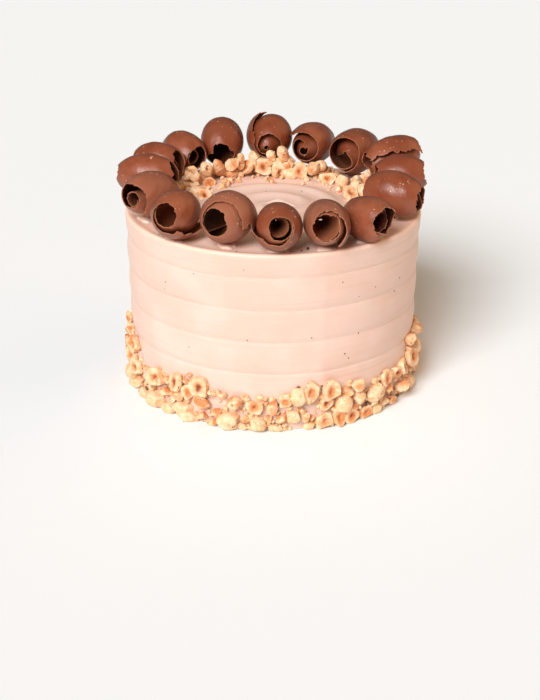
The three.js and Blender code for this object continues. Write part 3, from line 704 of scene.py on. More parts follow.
def round_the_cake(angle, reach, z):
    """A place from its angle, ring radius and height."""
    return Vector((reach * math.cos(angle), reach * math.sin(angle), z))


nut_draw = SeededDraws(NUT_SEED)
tone_draw = SeededDraws(TONE_SEED)
border_nuts = []
for row, row_height in enumerate(BORDER_ROWS):
    for k in range(BORDER_NUTS):
        nut = draw_nut(nut_draw)
        angle = 2 * math.pi * (k + 0.5 * (row % 2) + ANGLE_WANDER * nut["shift"]) / BORDER_NUTS - math.pi
        z = min(row_height + ROW_WANDER * nut["rise"], border_height(angle) - EDGE_SHARE * nut["size"])
        middle = round_the_cake(angle, side_radius(z) + BORDER_STAND, z)
        out = Vector((math.cos(angle), math.sin(angle), 0.25 - 0.2 * nut["rise"])).normalized()
        from_front = abs(math.atan2(middle.x, -middle.y))
        tone, brown = tone_draw() ** 2, tone_draw()
        if z > row_height - ROW_SHIFT and from_front > math.radians(FRONT_HALF_WIDTH):
            border_nuts.append(place_nut(nut, middle, out, tone, brown, len(border_nuts)))
front_draw = SeededDraws(NUT_SEED + 1)
for angle, z, width, height, kind, tilt, tone, brown in FRONT_NUTS:
    nut = draw_nut(front_draw)
    nut.update(kind=kind, size=FRONT_WIDER * math.sqrt(width * height), long=math.sqrt(width / height),
               lean=nut["lean"] * FRONT_LEAN / NUT_LEAN, spin=math.radians(angle + 90 + tilt))
    turn = math.radians(angle)
    middle = round_the_cake(turn, side_radius(z) + FRONT_STAND * nut["size"], z)
    out = Vector((math.cos(turn), math.sin(turn), 0.12)).normalized()
    border_nuts.append(place_nut(nut, middle, out, tone, brown, len(border_nuts)))


def loose_turn(draw):
    """Any turn at all."""
    return kernel_turn(direction(360 * draw(), 180 * draw() - 90), 0, 0, 2 * math.pi * draw())


def buried(place, size, nuts, share):
    """True where a small piece would lie inside a large one."""
    return any((place - nut[0]).length < share * 2 * nut[2].z + 0.3 * size for nut in nuts)


def draw_small_size(crumb):
    """Size of a small piece or a crumb; the smaller ones are commoner."""
    low, high = CRUMB_SIZES if crumb else SMALL_SIZES
    return low + (high - low) * small_draw() ** 1.5


def small_piece(place, turned, size, kind, number, tone, brown):
    """One scattered small piece."""
    return place, turned, Vector(SMALL_SHAPE) * size, pick_kernel(kind, number), tone, 0.8 * brown


small_draw = SeededDraws(SMALL_SEED)
border_large = list(border_nuts)
for number in range(BORDER_SMALL + BORDER_CRUMBS):
    crumb = number >= BORDER_SMALL
    size = draw_small_size(crumb)
    angle = 2 * math.pi * small_draw()
    z = max(0.35 * size, (border_height(angle) - 1) * small_draw() ** (1.6 if crumb else 1.1))
    reach = side_radius(z) + (0.1 + 0.2 * small_draw()) * size
    place = round_the_cake(angle, reach, z)
    turned, tone, brown = loose_turn(small_draw), small_draw() ** 2, small_draw()
    if brown > SKIN_FROM:
        brown, size = SKIN_BROWN, 0.7 * size
    kind = CRUMB_KIND if crumb or small_draw() < CRUMB_SHAPED else CHUNK_KIND
    if not buried(place, size, border_large, 0.3):
        border_nuts.append(small_piece(place, turned, size, kind, number, tone, brown))


def new_node_group(name, inputs):
    """A geometry node group with named inputs; gives it, its input sockets and its output node."""
    group = bpy.data.node_groups.new(name, "GeometryNodeTree")
    for title, kind in inputs:
        group.interface.new_socket(title, in_out="INPUT", socket_type=f"NodeSocket{kind}")
    group.interface.new_socket("Geometry", in_out="OUTPUT", socket_type="NodeSocketGeometry")
    return group, group.nodes.new("NodeGroupInput").outputs, group.nodes.new("NodeGroupOutput")


def make_real(group, geometry, material, result):
    """Ends a node group: its instances become one mesh with one material."""
    real = add_node(group, "GeometryNodeRealizeInstances", {"Geometry": geometry}).outputs["Geometry"]
    dressed = add_node(group, "GeometryNodeSetMaterial", {"Geometry": real, "Material": material})
    group.links.new(dressed.outputs["Geometry"], result.inputs["Geometry"])


def point_value(tree, name, kind):
    """A named attribute of the points."""
    named = add_node(tree, "GeometryNodeInputNamedAttribute", {"Name": name}, data_type=kind)
    return named.outputs["Attribute"]


SCATTER_INPUTS = (("Geometry", "Geometry"), ("Pieces", "Collection"), ("Material", "Material"))
scatter, given, result = new_node_group("scattered_pieces", SCATTER_INPUTS)
pieces = add_node(scatter, "GeometryNodeCollectionInfo", {
    "Separate Children": True, "Reset Children": True, "Collection": given["Pieces"],
})
put = add_node(scatter, "GeometryNodeInstanceOnPoints", {
    "Points": given["Geometry"], "Instance": pieces.outputs["Instances"], "Pick Instance": True,
    "Instance Index": point_value(scatter, "kernel", "INT"),
    "Rotation": point_value(scatter, "turned", "FLOAT_VECTOR"),
    "Scale": point_value(scatter, "stretch", "FLOAT_VECTOR"),
})
make_real(scatter, put.outputs["Instances"], given["Material"], result)


def set_input(modifier, name, value):
    """Sets a named input of a geometry nodes modifier by its socket's identifier."""
    sockets = modifier.node_group.interface.items_tree
    socket = next(item for item in sockets if item.name == name and item.in_out == "INPUT")
    modifier[socket.identifier] = value


def settle(made):
    """Turns an object with modifiers into one with a plain mesh."""
    evaluated = made.evaluated_get(bpy.context.evaluated_depsgraph_get())
    plain = bpy.data.meshes.new_from_object(evaluated)
    made.modifiers.clear()
    made.data = plain
    plain.name = made.name
    if len(plain.materials) > 1 and plain.materials[0] is None:
        plain.materials.pop(index=0)


def scatter_nuts(name, nuts, lowest, material):
    """One object of all the pieces in a list; no corner lies below the lowest height."""
    mesh = new_mesh(name, [nut[0] for nut in nuts], [])
    for title, kind, values in (
        ("turned", "FLOAT_VECTOR", [nut[1].to_euler() for nut in nuts]),
        ("stretch", "FLOAT_VECTOR", [nut[2] for nut in nuts]),
    ):
        mesh.attributes.new(title, kind, "POINT").data.foreach_set("vector", np.array(values).ravel())
    for title, kind, values in (
        ("kernel", "INT", [nut[3] for nut in nuts]),
        ("tone", "FLOAT", [nut[4] for nut in nuts]),
        ("brown", "FLOAT", [nut[5] for nut in nuts]),
    ):
        mesh.attributes.new(title, kind, "POINT").data.foreach_set("value", values)
    made = new_object(name, mesh)
    scattering = made.modifiers.new("scatter", "NODES")
    scattering.node_group = scatter
    set_input(scattering, "Pieces", kernels)
    set_input(scattering, "Material", material)
    settle(made)
    for corner in made.data.vertices:
        corner.co.z = max(corner.co.z, lowest * MM)
    return made


def attribute(tree, name):
    """A named value of the mesh, for a material."""
    return add_node(tree, "ShaderNodeAttribute", {}, attribute_name=name).outputs["Fac"]


def display_colour(red, green, blue):
    """Linear colour from display values of 0 to 255."""
    shares = [value / 255 for value in (red, green, blue)]
    return tuple(share / 12.92 if share <= 0.04045 else ((share + 0.055) / 1.055) ** 2.4 for share in shares)


NUT_CREAM = display_colour(250, 214, 174)
NUT_YELLOW = display_colour(241, 190, 138)
NUT_ORANGE = display_colour(220, 138, 80)
NUT_BROWN = display_colour(138, 66, 32)
NUT_SKIN = display_colour(92, 48, 28)
nut_material, tree, shader = new_material("roasted_hazelnut")
place = object_place(tree)
mottle = noise_value(tree, place, 320, 3, 0.6)
grain = noise_value(tree, place, 1500, 3, 0.6)
tone, brown = attribute(tree, "tone"), attribute(tree, "brown")
heart, cut = attribute(tree, "heart"), attribute(tree, "cut")
uneven = noise_value(tree, place, 260, 2, 0.6)
heart = calculate(tree, "MULTIPLY", heart, calculate(tree, "MULTIPLY_ADD", uneven, 1.5, 0.25))
flesh = blend_colours(tree, ramp(tree, mottle, 0.35, 0.65), NUT_CREAM, NUT_YELLOW)
patchy = calculate(tree, "MULTIPLY", tone, ramp(tree, noise_value(tree, place, 170, 2, 0.6), 0.3, 0.7))
roast = calculate(tree, "MULTIPLY_ADD", heart, 1.25, patchy)
roast = calculate(tree, "ADD", roast, calculate(tree, "MULTIPLY_ADD", mottle, 0.5, -0.33))
flesh = blend_colours(tree, ramp(tree, roast, 0.0, 0.85), flesh, NUT_ORANGE)
hollow = calculate(tree, "MULTIPLY", heart, calculate(tree, "MULTIPLY_ADD", brown, 0.8, 0.35))
flesh = blend_colours(tree, ramp(tree, hollow, 0.52, 0.98), flesh, NUT_BROWN)
skin = calculate(tree, "MULTIPLY_ADD", cut, -0.16, noise_value(tree, place, 190, 3, 0.7))
skin = calculate(tree, "MULTIPLY_ADD", brown, 0.06, skin)
skin = calculate(tree, "ADD", skin, ramp(tree, brown, 1.2, 1.4))
flesh = blend_colours(tree, ramp(tree, skin, 0.63, 0.68), flesh, NUT_SKIN, 0.85)
flecks = ramp(tree, noise_value(tree, place, 780, 2, 0.6), 0.63, 0.7)
flesh = blend_colours(tree, flecks, flesh, NUT_BROWN, 0.55)
paint(tree, shader, flesh, calculate(tree, "MULTIPLY_ADD", grain, 0.2, 0.42))
let_light_in(shader, 0.2, (1.0, 0.55, 0.25), 0.0015)
bump(tree, shader, calculate(tree, "MULTIPLY_ADD", grain, 0.6, mottle), 0.00035, 0.7)

hazelnut_border = scatter_nuts("hazelnut_border", border_nuts, 0.05, nut_material)
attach(hazelnut_border, "root")
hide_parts("iced_cake")

# Chopped hazelnuts on the top
# The same nuts strewn by hand inside the ring of curls and heaped two deep against the curls at the
# back. They lie loose on the icing and stick where they sank into it.
CURL_CLEARANCE = 1.0
# Heap: x, y, height of the middle above the icing, size, kind, heading and pitch of the face, how
# orange it roasted, how brown its hollow is
HEAP = [
    (44, 17, 2.4, 10.4, 0, -70, 50, 0.2, 0.8), (51, 20, 3.4, 8.0, 1, -120, 30, 0.1, 0.1),
    (48, 28, 2.8, 8.4, 1, -110, 40, 0.1, 0.1), (38, 28, 0.8, 6.5, 2, -100, 70, 0.2, 0.1),
    (49, 37, 2.6, 8.6, 2, -120, 40, 0.3, 0.2), (40, 39, 2.4, 9.0, 1, -110, 35, 0.1, 0.1),
    (32, 43, 2.6, 9.6, 0, -100, 30, 0.2, 0.6), (37, 50, 3.0, 9.2, 2, -110, 20, 0.4, 0.3),
    (30, 55, 3.4, 9.6, 1, -80, 30, 0.7, 0.4), (28.4, 52.6, 8.8, 7.8, 1, -80, 30, 0.5, 0.6),
    (23.5, 51.5, 6.6, 10.6, 2, -150, 10, 0.1, 0.2), (15.4, 52, 4.4, 10.8, 0, -80, 20, 0.2, 0.7),
    (9.5, 54, 3.0, 10.0, 1, -95, 40, 0.1, 0.1),
    (3.0, 56.5, 7.6, 9.4, 1, -80, 20, 0.3, 0.3), (5.8, 55, 14.6, 9.0, 1, -60, 30, 0.8, 0.8),
    (3, 55, 3.4, 9.8, 0, -30, 5, 0.1, 0.3),
    (-6.2, 55.5, 6.0, 11.8, 0, -95, 8, 0.1, 0.9),
    (-11.3, 56.5, 12.4, 9.0, 2, -80, 30, 0.1, 0.1), (-16.2, 55, 5.8, 9.4, 0, -150, 10, 0.6, 0.5),
    (-24.4, 51, 8.8, 9.6, 2, -80, 25, 0.3, 0.3),
    (-25, 56, 3.8, 10.6, 2, -80, 35, 0.9, 0.3), (-33, 53, 4.0, 11.6, 2, -60, 30, 0.1, 0.1),
    (-40, 48, 3.0, 8.8, 2, -60, 50, 0.2, 0.2), (-37, 38, 1.4, 8.2, 0, -60, 55, 0.7, 0.4),
    (-43, 42, 3.0, 8.0, 2, -50, 40, 0.3, 0.3), (-30, 33, 0.8, 6.4, 2, -80, 70, 0.1, 0.1),
    (-45, 33, 1.6, 7.8, 2, -40, 50, 0.2, 0.2), (-51, 37, 2.6, 8.6, 1, -40, 40, 0.2, 0.2),
    (-52, 28, 2.0, 8.0, 2, -40, 50, 0.3, 0.2), (-44, 23, 1.2, 8.0, 1, -60, 60, 0.1, 0.1),
    (-39, 14, 1.4, 8.8, 0, -80, 50, 0.4, 0.9), (-50, 14, 1.6, 8.4, 2, -60, 60, 0.2, 0.3),
    (39, 56, 7.0, 8.8, 2, -90, 30, 0.3, 0.3), (9.5, 55, 9.2, 9.0, 2, -90, 30, 0.2, 0.2),
    (-19.6, 53.5, 11.8, 6.8, 2, -80, 30, 0.2, 0.1), (-40, 44, 5.4, 8.6, 2, -60, 30, 0.2, 0.3),
    (54, 44, 5.2, 8.6, 2, -130, 30, 0.3, 0.2), (-33.6, 50.5, 8.0, 10.6, 2, -60, 20, 0.4, 0.3),
    (-1.2, 56, 12.8, 7.4, 2, -90, 30, 0.2, 0.1),
    (-46, 36, 5.6, 8.0, 2, -40, 40, 0.3, 0.2), (-47, 36, 9.6, 7.4, 2, -40, 40, 0.2, 0.1),
    (-39, 42, 9.0, 8.6, 1, -60, 30, 0.2, 0.2), (-50.5, 36, 7.0, 7.6, 2, -40, 40, 0.3, 0.1),
    (-13, 56, 8.4, 7.8, 2, -90, 30, 0.3, 0.2), (-2.5, 56, 9.0, 7.6, 2, -90, 30, 0.2, 0.1),
    (-20.5, 53.5, 7.8, 8.0, 2, -90, 30, 0.3, 0.3), (7, 55.5, 6.4, 9.0, 2, -90, 20, 0.3, 0.2),
]
# Ring radius and the angles that the ring runs between
TOP_RINGS = [(57, -196, -160), (57, -22, 14), (64, 22, 50), (64, 130, 158), (73, 20, 160)]
TOP_NUT_SPACING = 12.5
RING_WANDER = 4.0
RING_ANGLE_WANDER = 0.7
LYING_SHARE = 0.24
HEAP_LEAN_SHARE = 0.4
FIT_STEPS = 7
FIT_INWARD = 0.7
FIT_DOWN = 0.4
FIT_SMALLER = 0.94
TOP_SMALL = 420
TOP_CRUMBS = 300
# Where the small pieces lie: first angle and how far round, in degrees, then ring radii
STREWN_FROM, STREWN_OVER = -18, 216
STREWN_INNER_BACK, STREWN_INNER_FRONT, STREWN_OUTER = 44, 50, 78
# None lies outside this ring radius, except where the sine of the angle is above the second value
CLEAN_LEDGE, CLEAN_LEDGE_BACK = 68.0, 0.25
# Share of the small pieces that lie on a large one
PERCHED_SHARE = 0.4


def corner_ring(radius, height, count):
    """Corners of a regular ring at a height."""
    turns = [2 * math.pi * k / count for k in range(count)]
    return [(radius * math.sin(turn), -radius * math.cos(turn), height) for turn in turns]


# Corners of the plain shape of each kind, by which a nut is fitted between the curls
HALF_CORNERS = [(0, 0, -0.95), (0, 0, 0.06)] + corner_ring(1, 0.06, 6) + corner_ring(0.66, 0.36, 6)
ROUND_CORNERS = [(0, 0, -0.85), (0, 0, 0.62)] + corner_ring(1, -0.15, 5) + corner_ring(0.76, 0.38, 5)
CHUNK_CORNERS = [(x, end, z) for radius, end in ((0.62, 0.575), (0.98, -0.575))
                 for x, z in ((0, radius), (radius, 0), (0, -radius), (-radius, 0))]
PLAIN_CORNERS = (HALF_CORNERS, ROUND_CORNERS, CHUNK_CORNERS)


def meets_curl(point):
    """True where a point lies inside a curl or too close to it."""
    for row in CURLS:
        middle, axis = curl_frame(row)
        length, size, mouth = row[5:8]
        offset = point - middle
        along = abs(offset.dot(axis))
        away = math.sqrt(max(0.0, offset.length_squared - along * along))
        share = min(1.0, 2 * along / length)
        barrel = size * math.sqrt(max(0.0, 1 - (1 - (mouth / size) ** 2) * share * share))
        if along - length / 2 < CURL_CLEARANCE and away < barrel + CURL_CLEARANCE:
            return True
    return False


def fit_nut(nut, middle, out):
    """Moves a nut until it is clear of the curls; None where there is no room for it."""
    inward = Vector((-middle.x, -middle.y, 0)).normalized()
    for _ in range(FIT_STEPS):
        turned = kernel_turn(out, nut["lean_way"], nut["lean"], nut["spin"])
        scale = nut_scale(nut)
        corners = [middle + turned @ (Vector(corner) * scale) for corner in PLAIN_CORNERS[nut["kind"]]]
        if not any(meets_curl(corner) for corner in corners):
            return middle
        middle = middle + inward * FIT_INWARD - Vector((0, 0, FIT_DOWN))
        nut["size"] *= FIT_SMALLER
    return None


top_level = CAKE_HEIGHT - TOP_DROP
top_nuts = []
for x, y, above, size, kind, heading, pitch, tone, brown in HEAP:
    nut = draw_nut(nut_draw)
    nut.update(size=size, kind=kind, lean=nut["lean"] * HEAP_LEAN_SHARE)
    out = direction(heading, pitch)
    middle = fit_nut(nut, Vector((x, y, top_level + above)), out)
    if middle:
        top_nuts.append(place_nut(nut, middle, out, tone, brown, len(top_nuts)))
for ring, low, high in TOP_RINGS:
    count = round(math.radians(high - low) * ring / TOP_NUT_SPACING)
    for k in range(count):
        nut = draw_nut(nut_draw)
        angle = math.radians(low + (high - low) * (k + 0.5 + RING_ANGLE_WANDER * nut["shift"]) / count)
        place = round_the_cake(angle, ring + RING_WANDER * nut["rise"], top_level + LYING_SHARE * nut["size"])
        out = Vector((0, 0, 1))
        middle = fit_nut(nut, place, out)
        tone, brown = tone_draw() ** 2, tone_draw()
        if middle:
            top_nuts.append(place_nut(nut, middle, out, tone, brown, len(top_nuts)))

top_large = list(top_nuts)
for number in range(TOP_SMALL + TOP_CRUMBS):
    crumb = number >= TOP_SMALL
    size = draw_small_size(crumb)
    angle = math.radians(STREWN_FROM + STREWN_OVER * small_draw())
    inner = STREWN_INNER_BACK if math.sin(angle) > 0 else STREWN_INNER_FRONT
    reach = inner + (STREWN_OUTER - inner) * small_draw() ** 0.8
    place = round_the_cake(angle, reach, 0)
    place.z = spread_top(place.x, place.y) + 0.25 * size
    if small_draw() < PERCHED_SHARE:
        under = top_large[int(len(top_large) * small_draw())]
        place = under[0] + direction(360 * small_draw(), 10 + 60 * small_draw()) * 0.78 * under[2].z
    turned, tone, brown = loose_turn(small_draw), small_draw() ** 2, small_draw()
    kind = CRUMB_KIND if crumb or small_draw() < CRUMB_SHAPED else CHUNK_KIND
    near_curl = any(meets_curl(place + Vector((0, 0, up * size))) for up in (0, 0.5))
    on_ledge = reach > CLEAN_LEDGE and math.sin(angle) < CLEAN_LEDGE_BACK
    if not near_curl and not on_ledge and not buried(place, size, top_large, 0.34):
        top_nuts.append(small_piece(place, turned, size, kind, number, tone, brown))

# Small chunks between the heap and the curls: x, y, height of the middle, size
GAP_CHUNKS = [
    (56.5, 45, 104.6, 5.6), (54.5, 43, 103.5, 6.0), (57.5, 47, 106.5, 4.6), (56, 46, 101, 7.0),
    (-52, 40, 104.5, 5.6), (-53, 42.5, 102, 6.0), (-51.5, 42, 107, 4.0),
]
GAP_SHAPE = (0.5, 0.45, 0.5)
for x, y, z, size in GAP_CHUNKS:
    turned, tone, brown = loose_turn(small_draw), small_draw(), small_draw()
    kernel = pick_kernel(CHUNK_KIND, len(top_nuts))
    top_nuts.append((Vector((x, y, z)), turned, Vector(GAP_SHAPE) * size, kernel, 0.5 * tone, 0.5 * brown))

hazelnut_top = scatter_nuts("hazelnut_top", top_nuts, 90, nut_material)
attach(hazelnut_top, "root")
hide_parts("iced_cake")

# Chocolate curls
# Each is a sheet of milk chocolate about a millimetre thick, scraped off a soft block so that it rolled
# itself up into a barrel with open mouths. They were set round the rim by hand, on the icing at the
# front and on the nuts at the back. The broken edges are ragged and paler than the waxy surface.
SHEET = 1.0
WRAP_GAP = 0.75
STEPS_PER_TURN = 104
ALONG_STEPS = 44
# The sheet thins to this share of its thickness over the last millimetres before a broken edge
EDGE_SHARE_OF_SHEET = 0.45
EDGE_THINNING = 2.2
THINNING_STEPS = 10
CURL_SEED_STEP = 7.3
CURL_SHARP_ANGLE = math.radians(50)
# Inside the roll: further turns, turn from which the sheet draws in and over how much of a turn, how far
# it draws back from the mouth, radius of the inner roll, how much that changes towards the near mouth and
# how much it closes towards the far one, how far and which way the inner roll lies off the middle; then a
# bite torn from the mouth: depth, its place and half its width in turns from the loose edge
WINDINGS = [
    (0.90, 0.95, 0.45, 0.0, 5.0, -0.4, 0.0, 2.4, -110, 3.6, 0.00, 0.42),
    (0.35, 1.35, 0.45, 4.0, 7.0, 4.0, 4.0, 0.0, 0, 0.0, 0.00, 0.20),
    (0.28, 1.30, 0.45, 1.5, 9.0, 0.0, 0.0, 0.0, 0, 5.0, 0.02, 0.44),
    (1.30, 1.15, 0.60, 3.0, 3.8, 2.6, 2.6, 1.0, 120, 2.2, 0.05, 0.30),
    (1.20, 1.30, 0.60, 3.0, 4.6, 3.4, 3.4, 1.0, 180, 2.0, 0.00, 0.30),
    (0.80, 0.90, 0.50, 5.0, 5.0, 3.0, 3.0, 1.0, 180, 9.0, 0.77, 0.20),
    (0.75, 0.90, 0.45, -0.6, 6.0, -2.0, 3.0, 1.0, 200, 0.6, 0.60, 0.20),
    (0.50, 0.90, 0.45, 3.0, 5.0, 0.0, 3.0, 0.0, 0, 1.5, 0.50, 0.20),
    (0.50, 0.90, 0.45, 3.0, 5.0, 0.0, 3.0, 0.0, 0, 2.5, 0.60, 0.20),
    (0.57, 1.15, 0.17, -1.5, 12.5, -11.0, 4.0, 0.0, 0, 0.0, 0.00, 0.20),
    (0.95, 0.95, 0.35, -1.5, 11.0, -7.6, 5.0, 2.6, 235, 0.0, 0.00, 0.20),
    (1.25, 1.22, 0.28, -2.4, 14.0, -11.6, 8.0, 2.6, 235, 0.0, 0.05, 0.25),
    (0.60, 0.90, 0.45, 4.0, 5.0, 4.0, 4.0, 0.0, 0, 2.0, 0.55, 0.16),
    (0.80, 1.05, 0.45, 2.0, 4.6, -0.2, 2.0, 0.8, 230, 2.0, 0.45, 0.20),
    (0.60, 0.90, 0.45, 2.0, 4.0, 0.0, 2.0, 0.8, 200, 2.5, 0.40, 0.20),
    (0.60, 0.90, 0.45, 2.0, 4.0, 0.0, 2.0, 0.8, 200, 2.5, 0.60, 0.20),
]
WINDING_INPUTS = ("Inner turns", "Recess from", "Recess over", "Recess", "Core", "Near change", "Far close",
                  "Shift", "Shift way", "Bite", "Bite place", "Bite width")
SHEET_INPUTS = ("Length", "Radius", "Mouth", "Turns", "Edge", "Hand", "Lift", "Loose", "Slant", "Tear")
ANGLE_INPUTS = ("Edge", "Shift way")
roll_inputs = [("Geometry", "Geometry")]
roll_inputs += [(name, "Float") for name in SHEET_INPUTS + WINDING_INPUTS + ("Seed",)]
roll_inputs += [("Round steps", "Int"), ("Along steps", "Int"), ("Material", "Material")]
roll, given, result = new_node_group("rolled_chocolate", roll_inputs)


def sums(operation, *values):
    """One math node in the tree of the rolled sheet."""
    return calculate(roll, operation, *values)


def vector(tree, x, y, z=0.0):
    """A vector from three sockets or numbers."""
    return add_node(tree, "ShaderNodeCombineXYZ", {0: x, 1: y, 2: z}).outputs[0]


def tear_noise(x, y, detail):
    """Noise between about -1 and 1 for a torn edge."""
    fac = noise_value(roll, vector(roll, x, y, given["Seed"]), 1.0, detail, 0.6)
    return sums("MULTIPLY_ADD", fac, 4.0, -2.0)


sheet = add_node(roll, "GeometryNodeMeshGrid", {
    "Size X": 1.0, "Size Y": 1.0, "Vertices X": given["Round steps"], "Vertices Y": given["Along steps"],
})
flat_place = add_node(roll, "GeometryNodeInputPosition", {}).outputs[0]
flat_parts = add_node(roll, "ShaderNodeSeparateXYZ", {0: flat_place})
across = sums("MULTIPLY", flat_parts.outputs["Y"], 2.0)
half_length = sums("MULTIPLY", given["Length"], 0.5)
side_sign = sums("SIGN", across)
all_turns = sums("ADD", given["Turns"], given["Inner turns"])
round_place = sums("MULTIPLY", sums("ADD", flat_parts.outputs["X"], 0.5), all_turns)
# The torn ends: raggedness grows towards both mouths, in large waves, nicks and small jags
near_end = sums("POWER", sums("ABSOLUTE", across), 6.0)
waves, nicks, jags = (
    tear_noise(sums("MULTIPLY", round_place, often), sums("MULTIPLY", side_sign, apart), detail)
    for often, apart, detail in ((4.0, 5.0, 1.0), (15.0, 9.0, 2.0), (42.0, 13.0, 2.0))
)
ragged = sums("MULTIPLY_ADD", waves, 0.6, sums("MULTIPLY", nicks, 0.5))
ragged = sums("ADD", ragged, sums("MULTIPLY", sums("ABSOLUTE", jags), -0.45))
torn_in = sums("MULTIPLY", sums("MULTIPLY", ragged, given["Tear"]), near_end)
# The loose edge: slanted, wavy and nicked
near_edge = sums("MAXIMUM", sums("SUBTRACT", 1.0, sums("DIVIDE", round_place, 0.22)), 0.0)
near_edge = sums("POWER", near_edge, 2.0)
edge_wave, edge_nicks, edge_jags = (
    tear_noise(sums("MULTIPLY", across, often), apart, detail)
    for often, apart, detail in ((1.3, 3.0, 1.0), (6.0, 7.0, 2.0), (17.0, 11.0, 2.0))
)
edge_shift = sums("MULTIPLY_ADD", edge_wave, 0.034, sums("MULTIPLY", edge_nicks, 0.016))
edge_shift = sums("ADD", edge_shift, sums("MULTIPLY", sums("ABSOLUTE", edge_jags), 0.014))
edge_shift = sums("ADD", edge_shift, sums("MULTIPLY", across, given["Slant"]))
turned = sums("ADD", round_place, sums("MULTIPLY", edge_shift, near_edge))
# Place along the roll, as a share of half its length: the inner turns draw back, a bite is torn out
past_recess = sums("SUBTRACT", turned, given["Recess from"])
deep = ramp(roll, sums("DIVIDE", past_recess, given["Recess over"]), 0.0, 1.0)
from_bite = sums("ABSOLUTE", sums("SUBTRACT", round_place, given["Bite place"]))
bitten = ramp(roll, sums("SUBTRACT", 1.0, sums("DIVIDE", from_bite, given["Bite width"])), 0.0, 0.85)
bitten = sums("MULTIPLY", bitten, ramp(roll, across, -0.4, 1.0))
drawn_back = sums("MULTIPLY_ADD", given["Recess"], deep, sums("MULTIPLY", given["Bite"], bitten))
drawn_back = sums("SUBTRACT", drawn_back, sums("MULTIPLY", torn_in, side_sign))
roundness = sums("ARCCOSINE", sums("DIVIDE", given["Mouth"], given["Radius"]))
share = sums("DIVIDE", sums("SINE", sums("MULTIPLY", across, roundness)), sums("SINE", roundness))
share = sums("MULTIPLY", share, sums("MULTIPLY_ADD", deep, -0.2, 1.0))
share = sums("SUBTRACT", share, sums("DIVIDE", drawn_back, half_length))
# Barrel: rows close up towards the mouths, each turn lies inside the last, soft dents cross all turns
taper = sums("SUBTRACT", 1.0, sums("POWER", sums("DIVIDE", given["Mouth"], given["Radius"]), 2.0))
belly = sums("MAXIMUM", sums("SUBTRACT", 1.0, sums("MULTIPLY", taper, sums("MULTIPLY", share, share))), 0.1)
belly = sums("SQRT", belly)
angle = sums("ADD", given["Edge"], sums("MULTIPLY", given["Hand"], sums("MULTIPLY", turned, 2 * math.pi)))
loose = sums("MAXIMUM", sums("SUBTRACT", 1.0, sums("DIVIDE", turned, given["Loose"])), 0.0)
lifted = sums("MULTIPLY", given["Lift"], sums("POWER", loose, 2.0))
dents = tear_noise(sums("MULTIPLY", sums("COSINE", angle), 1.1),
                   sums("ADD", sums("MULTIPLY", sums("SINE", angle), 1.1), sums("MULTIPLY", share, 1.7)), 1.0)
uneven = tear_noise(sums("MULTIPLY", round_place, 5.0), sums("MULTIPLY", across, 2.5), 1.0)
uneven = sums("MULTIPLY_ADD", dents, 0.28, sums("MULTIPLY", uneven, 0.09))
outer_radius = sums("MULTIPLY_ADD", given["Radius"], belly, sums("ADD", lifted, uneven))
outer_radius = sums("SUBTRACT", outer_radius, sums("MULTIPLY", turned, SHEET + WRAP_GAP))
into_core = sums("MAXIMUM", sums("SUBTRACT", past_recess, given["Recess over"]), 0.0)
inner_radius = sums("MULTIPLY_ADD", given["Near change"], sums("MAXIMUM", across, 0.0), given["Core"])
inner_radius = sums("MULTIPLY_ADD", given["Far close"], sums("MINIMUM", across, 0.0), inner_radius)
inner_radius = sums("SUBTRACT", inner_radius, sums("MULTIPLY", into_core, 1.6))
inner_radius = sums("MAXIMUM", sums("MINIMUM", inner_radius, outer_radius), 1.1)
radius = sums("MULTIPLY_ADD", sums("SUBTRACT", inner_radius, outer_radius), deep, outer_radius)
aside = sums("MULTIPLY", given["Shift"], deep)
sideways = []
for wave in ("COSINE", "SINE"):
    shifted = sums("MULTIPLY", aside, sums(wave, given["Shift way"]))
    sideways.append(sums("MULTIPLY_ADD", radius, sums(wave, angle), shifted))
rolled = vector(roll, *sideways, sums("MULTIPLY", share, half_length))
in_metres = add_node(roll, "ShaderNodeVectorMath", {0: rolled, "Scale": MM}, operation="SCALE").outputs[0]
# Kept for the material: millimetres from the nearest broken edge, round the sheet and along it
from_end = sums("MULTIPLY", sums("SUBTRACT", 1.0, sums("ABSOLUTE", across)), half_length)
from_loose = sums("MULTIPLY", sums("MULTIPLY", round_place, 2 * math.pi), given["Radius"])
from_inner = sums("MULTIPLY", sums("SUBTRACT", all_turns, round_place), 8 * math.pi)
from_edge = sums("MINIMUM", sums("MINIMUM", from_end, from_loose), from_inner)
grown = sheet.outputs["Mesh"]
for name, value in (("from_edge", from_edge), ("round_sheet", from_loose),
                    ("along_sheet", sums("MULTIPLY", across, half_length))):
    inputs = {"Geometry": grown, "Name": name, "Value": value}
    keep = add_node(roll, "GeometryNodeStoreNamedAttribute", inputs, data_type="FLOAT", domain="POINT")
    grown = keep.outputs["Geometry"]
bend_sheet = add_node(roll, "GeometryNodeSetPosition", {"Geometry": grown, "Position": in_metres})
make_real(roll, bend_sheet.outputs["Geometry"], given["Material"], result)


def sheet_place(tree, round_scale, along_scale):
    """Place on the unrolled sheet, stretched, for a material."""
    return vector(tree, calculate(tree, "MULTIPLY", attribute(tree, "round_sheet"), round_scale),
                  calculate(tree, "MULTIPLY", attribute(tree, "along_sheet"), along_scale))


# How pale (above 0) or dark (below 0) the chocolate of each curl is
CURL_TONES = (0.6, 0.1, 0.8, -0.3, 0.8, 0.2, -0.3, -0.6, 0.0, -0.4, 0.0, -0.4, -0.8, -0.1, -0.3, 0.0)
